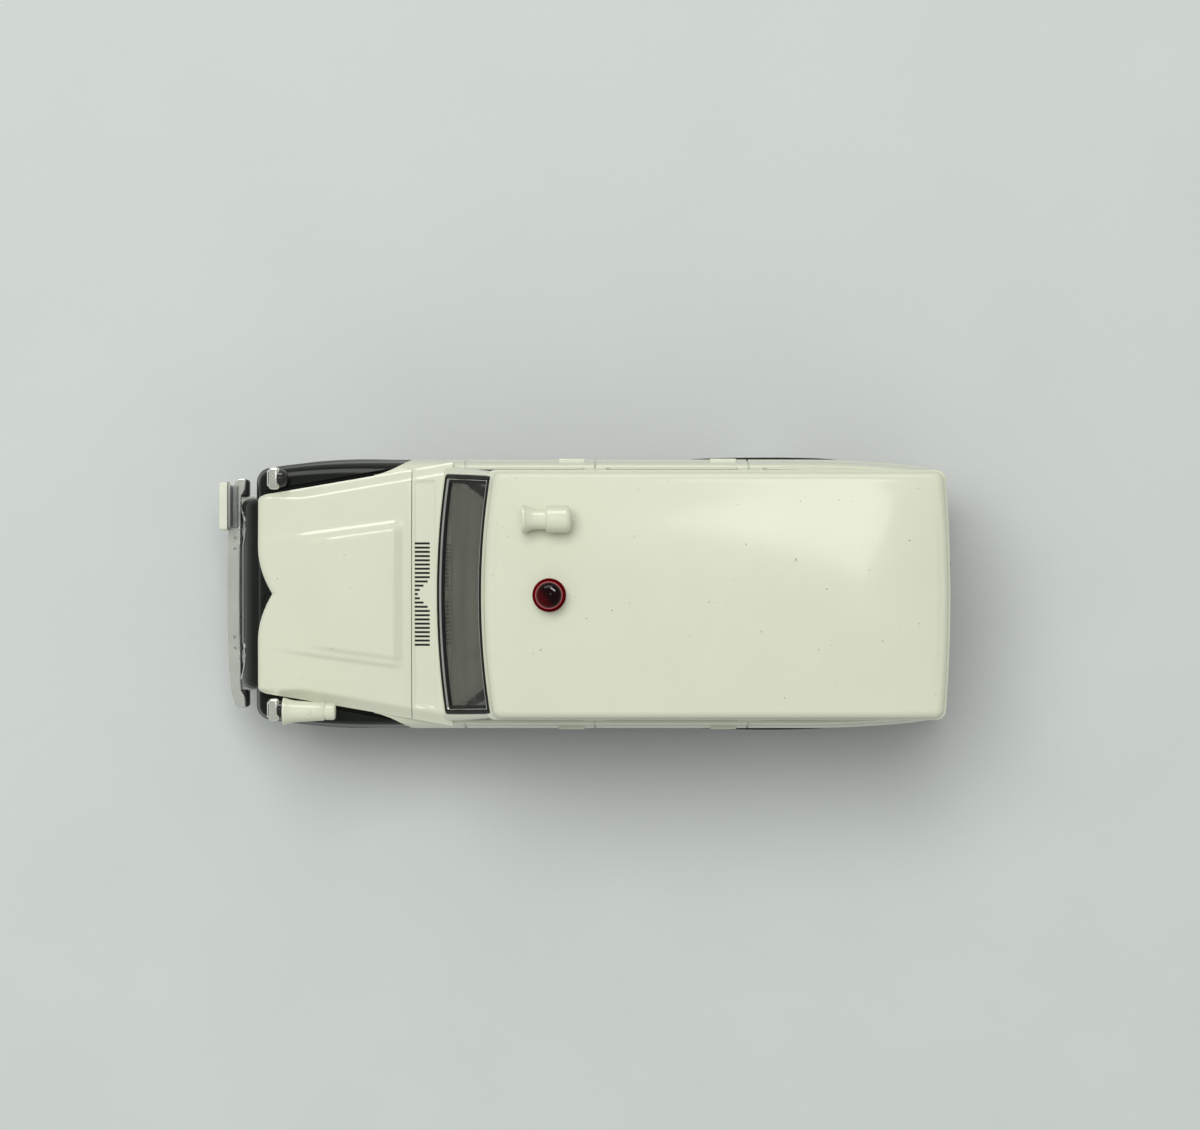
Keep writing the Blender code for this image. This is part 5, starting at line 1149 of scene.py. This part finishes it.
# Front bumper: a bowed moulding of bright plated plastic whose ends wrap back over black pads, with paired
# bolt holes, on two flat irons. A bent, ribbed bracket on its right half holds a blank pressed plate.
BUMPER_FRONT, BUMPER_HALF = -36.1, 11.6
BUMPER_LOW, BUMPER_HIGH = 7.5, 9.6
BOLT_HOLE = 0.17
IRON_Y, IRON_HALF = 9.4, 0.5
BRACKET_THICK = 0.4
bumper_silver = finish(
    "bumper_silver", (0.76, 0.78, 0.71), 0.24, 0.7, mottle=0.04, blotch=300.0, grain=1500.0, dent=0.0002
)
plate_white = finish(
    "plate_white", (0.72, 0.74, 0.61), 0.35, mottle=0.04, blotch=900.0, grain=5000.0, dent=0.005
)
bracket_grey = finish(
    "bracket_grey", (0.42, 0.43, 0.41), 0.4, 0.6, mottle=0.15, blotch=900.0, grain=5000.0, dent=0.008
)
sweep_front = [(0.0, 0.0), (0.02, 0.2), (0.07, 0.43), (0.18, 0.65), (0.36, 0.82), (0.5, 0.89), (0.66, 0.93)]
sweep_front += [(0.85, 0.975), (1.15, 1.0), (1.5, 1.0), (1.78, 1.0)]
sweep_back = [(1.9, 0.985), (1.92, 0.95), (1.86, 0.905), (1.68, 0.872), (1.48, 0.85), (1.42, 0.65)]
sweep_back += [(1.39, 0.43), (1.36, 0.2), (1.34, 0.0)]
right_half = [(BUMPER_FRONT + back, share * BUMPER_HALF) for back, share in sweep_front + sweep_back]
bumper_plan = right_half + [(x, -y) for x, y in right_half[-2:0:-1]]
blade = prism(bumper_plan, BUMPER_LOW, BUMPER_HIGH, "Z")
rims = [edge for edge in blade.edges if abs(edge.verts[0].co.z - edge.verts[1].co.z) < 1e-6]
round_off(blade, rims, 0.16, 4, clamp=True)
firm(blade, 0.05)
hole = [(0, -0.5), (BOLT_HOLE, -0.5), (BOLT_HOLE, 0.5), (0, 0.5)]
pairs = [(side * y, back) for side in (-1, 1) for y, back in ((4.45, 0.8), (5.55, 0.85))]
blade = carve(blade, *[turned(hole, "Z", (BUMPER_FRONT + back, y, BUMPER_HIGH), 20) for y, back in pairs])
iron_run = (BUMPER_FRONT + 1.0, -31.3)
irons = [box(iron_run, around(y, IRON_HALF), (8.1, 8.8), 0.1, 2) for y in (-IRON_Y, IRON_Y)]
dress(merged(blade, *irons), "bowed_bumper", bumper_silver, ["front_bumper"])
pads = []
for side in (-1, 1):
    across = sorted((side * 9.75, side * 11.52))
    up = (BUMPER_LOW + 0.2, BUMPER_HIGH - 0.1)
    pads.append(box((BUMPER_FRONT + 1.3, BUMPER_FRONT + 2.2), across, up, 0.3, 4))
dress(merged(*pads), "bumper_end_pads", satin_black)
low, high = limits("plate_bracket")
inner_x, inner_z = low.x + BRACKET_THICK, low.z + BRACKET_THICK
stem = [(low.x, low.z), (high.x, low.z), (high.x, inner_z), (inner_x, inner_z), (inner_x, high.z)]
stem += [(low.x, high.z)]
bracket = prism(stem, low.y, high.y, "Y")
round_off(bracket, bracket.edges[:], 0.08, 2)
ribs = [bracket]
for back in (0.52, 0.8):
    ribs.append(
        box(around(low.x + back, 0.07), (low.y + 0.2, high.y - 0.2), (low.z + 0.3, low.z + 0.62), 0.05, 2)
    )
dress(merged(*ribs), "ribbed_bracket", bracket_grey, ["plate_bracket"])


def blank_plate(low, high, face):
    """A pressed plate with round corners and a raised rim, its front towards face along X."""
    corners = [(low.y, low.z), (high.y, low.z), (high.y, high.z), (low.y, high.z)]
    outline = rounded([(y, z, 0.3) for y, z in corners], 5)
    centre = ((low.y + high.y) / 2, (low.z + high.z) / 2)

    def shrunk(inset):
        """The outline drawn in towards its centre."""
        wide = 1 - inset / (high.y - low.y) * 2
        tall = 1 - inset / (high.z - low.z) * 2
        return [(centre[0] + (y - centre[0]) * wide, centre[1] + (z - centre[1]) * tall) for y, z in outline]

    front, back = (low.x, high.x) if face < 0 else (high.x, low.x)
    deep = back - front
    section = [(0, 1.0), (0, 0.25), (0.06, 0.05), (0.13, 0.0), (0.24, 0.0), (0.3, 0.08), (0.36, 0.28)]
    section += [(0.42, 0.34)]
    return loft([[(front + deep * share, y, z) for y, z in shrunk(inset)] for inset, share in section])


low, high = limits("front_plate")
plate = blank_plate(low, Vector((high.x + 0.2, high.y, high.z)), -1)
dress(plate, "blank_front_plate", plate_white, ["front_plate"])


# Turn signals: plated plastic blocks pinned to the fender tops, each with a clear front lens and a black
# round tail pressed on behind.
SIGNAL_FRONT, SIGNAL_BACK, SIGNAL_Y = -31.05, -29.98, 11.4
signal_lens = finish(
    "signal_lens", (0.80, 0.80, 0.76), 0.12, mottle=0.06, blotch=900.0, dent=0.01,
    sockets=[("Transmission Weight", 0.25), ("IOR", 1.45)],
)
signal_silver = finish("signal_silver", (0.86, 0.87, 0.79), 0.2, 0.85, grain=3000.0, dent=0.001)
tail_black = finish("signal_tail_black", (0.018, 0.019, 0.016), 0.1, mottle=0.1, dent=0.003)
signal_tail = [(0, -0.2), (0.92, -0.2), (0.9, 0.1), (0.84, 0.38), (0.72, 0.6), (0.5, 0.76), (0.25, 0.83)]
signal_tail += [(0, 0.85)]
for side, name in ((-1, "left"), (1, "right")):
    y = side * SIGNAL_Y
    case = box((SIGNAL_FRONT, SIGNAL_BACK), around(y, 1.1), (16.5, 18.25), 0.34, 5)
    dress(case, f"signal_case_{name}", signal_silver, [f"turn_signal_{name}"])
    front = box((SIGNAL_FRONT - 0.15, SIGNAL_FRONT + 0.15), around(y, 0.8), (16.8, 18.0), 0.14, 3)
    dress(front, f"signal_lens_{name}", signal_lens)
    tail = turned(signal_tail, "X", (SIGNAL_BACK, y, 17.45), 40)
    dress(tail, f"signal_tail_{name}", tail_black)


# Siren horns: moulded cream-white speakers, one on the left fender and one on the roof. Each is a flared bell
# with a rolled rim, a neck and a round driver, on a short foot with a pin.
FENDER_SIREN = (-29.5, -11.5, 19.36)
ROOF_SIREN = (-5.78, 7.2, 30.561)
siren_white = finish(
    "siren_white", (0.69, 0.705, 0.55), 0.2, mottle=0.03, blotch=600.0, grain=2000.0, dent=0.003
)
bell = [(0, 1.3), (0.62, 1.3), (0.68, 0.9), (0.85, 0.5), (1.1, 0.2), (1.2, 0.06), (1.26, 0.0), (1.33, 0.03)]
bell += [(1.35, 0.1), (1.32, 0.24), (1.24, 0.5), (1.15, 0.8), (1.08, 1.2), (1.03, 1.7), (0.98, 2.6)]
bell += [(0.9, 4.0), (0.84, 4.1), (0.78, 4.14), (0.78, 4.2), (0.84, 4.26), (0.84, 4.9), (0.78, 5.08)]
bell += [(0.62, 5.18), (0.4, 5.2), (0, 5.2)]
horn = turned(bell, "X", FENDER_SIREN, 64)
foot = box((-27.8, -26.0), around(FENDER_SIREN[1], 0.6), (16.6, 18.7), 0.15, 3)
dome_nut = [(0, 0.0), (0.3, 0.0), (0.3, 0.1), (0.22, 0.18), (0, 0.2)]
nut = turned(dome_nut, "Z", (-26.9, FENDER_SIREN[1], 20.2), 16)
dress(merged(horn, foot, nut), "fender_horn", siren_white, ["fender_siren"])
bell = [(0, 1.5), (0.6, 1.5), (0.7, 0.9), (0.9, 0.45), (1.12, 0.16), (1.22, 0.04), (1.3, 0.0), (1.36, 0.04)]
bell += [(1.37, 0.14), (1.35, 0.25), (1.27, 0.34), (1.15, 0.55), (1.03, 0.85), (0.97, 1.1), (0.95, 1.5)]
bell += [(0.95, 2.2), (1.0, 2.28), (1.2, 2.32), (1.28, 2.42), (1.28, 4.05), (1.25, 4.25), (1.17, 4.42)]
bell += [(1.04, 4.55), (0.86, 4.63), (0.6, 4.66), (0.36, 4.68), (0.3, 4.74), (0.22, 4.84), (0, 4.86)]
horn = turned(bell, "X", ROOF_SIREN, 64)
foot = box((-3.66, -2.06), around(ROOF_SIREN[1], 0.7), (28.6, 30.0), 0.15, 3)
dress(merged(horn, foot), "roof_horn", siren_white, ["roof_siren"])


# Beacon: a moulding of deep red plastic, a darker glossy dome on a skirt with a thin bead between them,
# pinned through the roof. The dome's near-black red is painted shade for its dark inside. A crimson on the
# side away from the window is a painted glow, and the bead's pale pink is a painted highlight ring.
BEACON = (-3.23, 0.0, 0.0)
DOME_RADIUS, DOME_HEIGHT, DOME_FOOT = 1.21, 0.76, 30.98
BEAD_CENTRE, BEAD_RADIUS = (1.25, 31.0), 0.045
PAINTED_DOME_GLOW = (0.062, 0.0004, 0.0018, 1.0)
GLOW_SIDE, GLOW_LEVEL, GLOW_START, GLOW_END = (-0.8, -0.6, -0.25), 31.5, -0.1, 0.95
# Near-black red is painted shade, for the dark inside seen through the clear red plastic.
dome_red = finish(
    "beacon_dome_red", (0.0065, 0.0003, 0.0008), 0.04, mottle=0.3, blotch=500.0, grain=1500.0, dent=0.0005,
    sockets=[("Specular IOR Level", 0.16)],
)
# Painted light: the dome's colour turns crimson on the side away from the window, for window light gathered
# through the plastic.
cast = dome_red.node_tree
across = add_node(cast, "VectorMath", [(1, GLOW_SIDE)], operation="DOT_PRODUCT")
glow_middle = GLOW_SIDE[0] * BEACON[0] + GLOW_SIDE[2] * GLOW_LEVEL
glow_limits = [("From Min", (glow_middle + GLOW_START) * MM), ("From Max", (glow_middle + GLOW_END) * MM)]
lit_side = add_node(cast, "MapRange", glow_limits, interpolation_type="SMOOTHSTEP")
glow = add_node(cast, "Mix", [("B", PAINTED_DOME_GLOW)], data_type="RGBA")
wire(
    cast,
    (cast.nodes["Texture Coordinate"], "Object", across, 0),
    (across, "Value", lit_side, "Value"),
    (lit_side, "Result", glow, "Factor"),
    (cast.nodes["Color Ramp"], "Color", glow, "A"),
    (glow, "Result", cast.nodes["Principled BSDF"], "Base Color"),
)
skirt_red = finish(
    "beacon_skirt_red", (0.13, 0.002, 0.005), 0.22, mottle=0.15, grain=2500.0, dent=0.002,
    sockets=[("Specular IOR Level", 0.0)],
)
# The bead's pale pink is a painted highlight: a lit ring at the dome's edge, on a bead whose own rounding
# also catches light.
bead_painted_highlight = finish("beacon_bead_painted_highlight", (0.42, 0.12, 0.12), 0.3, mottle=0.1, grain=3000.0, dent=0.002)
skirt = [(0, 28.7), (1.6, 28.7), (1.6, 29.35), (1.57, 29.5), (1.5, 29.62), (1.46, 29.8), (1.38, 30.85)]
skirt += [(1.34, 30.95), (1.2, 30.99), (0, 30.99)]
bead = arc(*BEAD_CENTRE, BEAD_RADIUS, 0, 324, 9)
dome = [(0, 30.9), (DOME_RADIUS, 30.9)]
dome += [(DOME_RADIUS * u, DOME_FOOT + DOME_HEIGHT * v) for u, v in arc(0.0, 0.0, 1.0, 0.0, 82.5, 11)]
dome += [(0, DOME_FOOT + DOME_HEIGHT)]
dress(turned(skirt, "Z", BEACON, 72), "beacon_skirt", skirt_red, ["beacon_lens"])
dress(turned(bead, "Z", BEACON, 72, True), "beacon_bead", bead_painted_highlight)
dress(turned(dome, "Z", BEACON, 72), "beacon_dome", dome_red, ["beacon_lens"])


# Tail: two red lamps let into the rear corners, plated quarter bumpers below them, a blank plate between and
# a black handle on the tailgate.
lamp_red = finish(
    "lamp_red", (0.42, 0.012, 0.014), 0.1, mottle=0.12, blotch=900.0, grain=3000.0, dent=0.008,
    sockets=[("Transmission Weight", 0.3), ("IOR", 1.49)],
)
TAIL_RIBS = 5
bolt = [(0, -0.3), (0.3, -0.3), (0.3, -0.06), (0.22, -0.01), (0, 0)]
for side, name in ((-1, "left"), (1, "right")):
    low, high = limits(f"tail_lamp_{name}")
    steps = [box((low.x, high.x), (low.y, high.y), (low.z, high.z), 0.2, 4)]
    for k in range(TAIL_RIBS):
        z = low.z + 0.6 + (high.z - low.z - 1.2) * k / (TAIL_RIBS - 1)
        steps.append(box((high.x - 0.2, high.x), (low.y + 0.25, high.y - 0.25), around(z, 0.1), 0.06, 2))
    dress(merged(*steps), f"ribbed_tail_lamp_{name}", lamp_red, [f"tail_lamp_{name}"])
    low, high = limits(f"rear_bumper_{name}")
    bar = box((35.4, high.x), (low.y, high.y), (low.z, high.z), 0.35, 5)
    iron = box((low.x, 35.6), around(side * 9.05, IRON_HALF), (low.z + 0.5, high.z - 0.5), 0.1, 2)
    bolts = [turned(bolt, "X", (high.x, side * y, 8.34), 20) for y in (7.2, 10.3)]
    bumper = merged(bar, iron, *bolts)
    dress(bumper, f"quarter_bumper_{name}", chrome, [f"rear_bumper_{name}"])
plate = blank_plate(*limits("rear_plate"), 1)
dress(plate, "blank_rear_plate", plate_white, ["rear_plate"])
low, high = limits("tailgate_handle")
handle = [box((high.x - 0.45, high.x), (low.y, high.y), (low.z, high.z), 0.18, 4)]
for y in (low.y + 0.4, high.y - 0.4):
    handle.append(box((low.x, high.x - 0.2), around(y, 0.25), (low.z + 0.1, high.z - 0.1), 0.08, 2))
dress(merged(*handle), "tailgate_grip", satin_black, ["tailgate_handle"])


# Light links: the white cabin mirrors the dim card in place of the highlight card, as its paint is duller
# than the rest, and the window pane shows in the beacon's dome alone.
LIGHT_LINKS = [
    ("highlight_card", "body_white_half", "EXCLUDE"),
    ("dim_card", "body_white_half", "INCLUDE"),
    ("window_pane", "beacon_dome", "INCLUDE"),
]
for light_name, piece_name, state in LIGHT_LINKS:
    linked = bpy.data.collections.new(f"{light_name}_links")
    linked.objects.link(bpy.data.objects[piece_name])
    linked.collection_objects[0].light_linking.link_state = state
    bpy.data.objects[light_name].light_linking.receiver_collection = linked
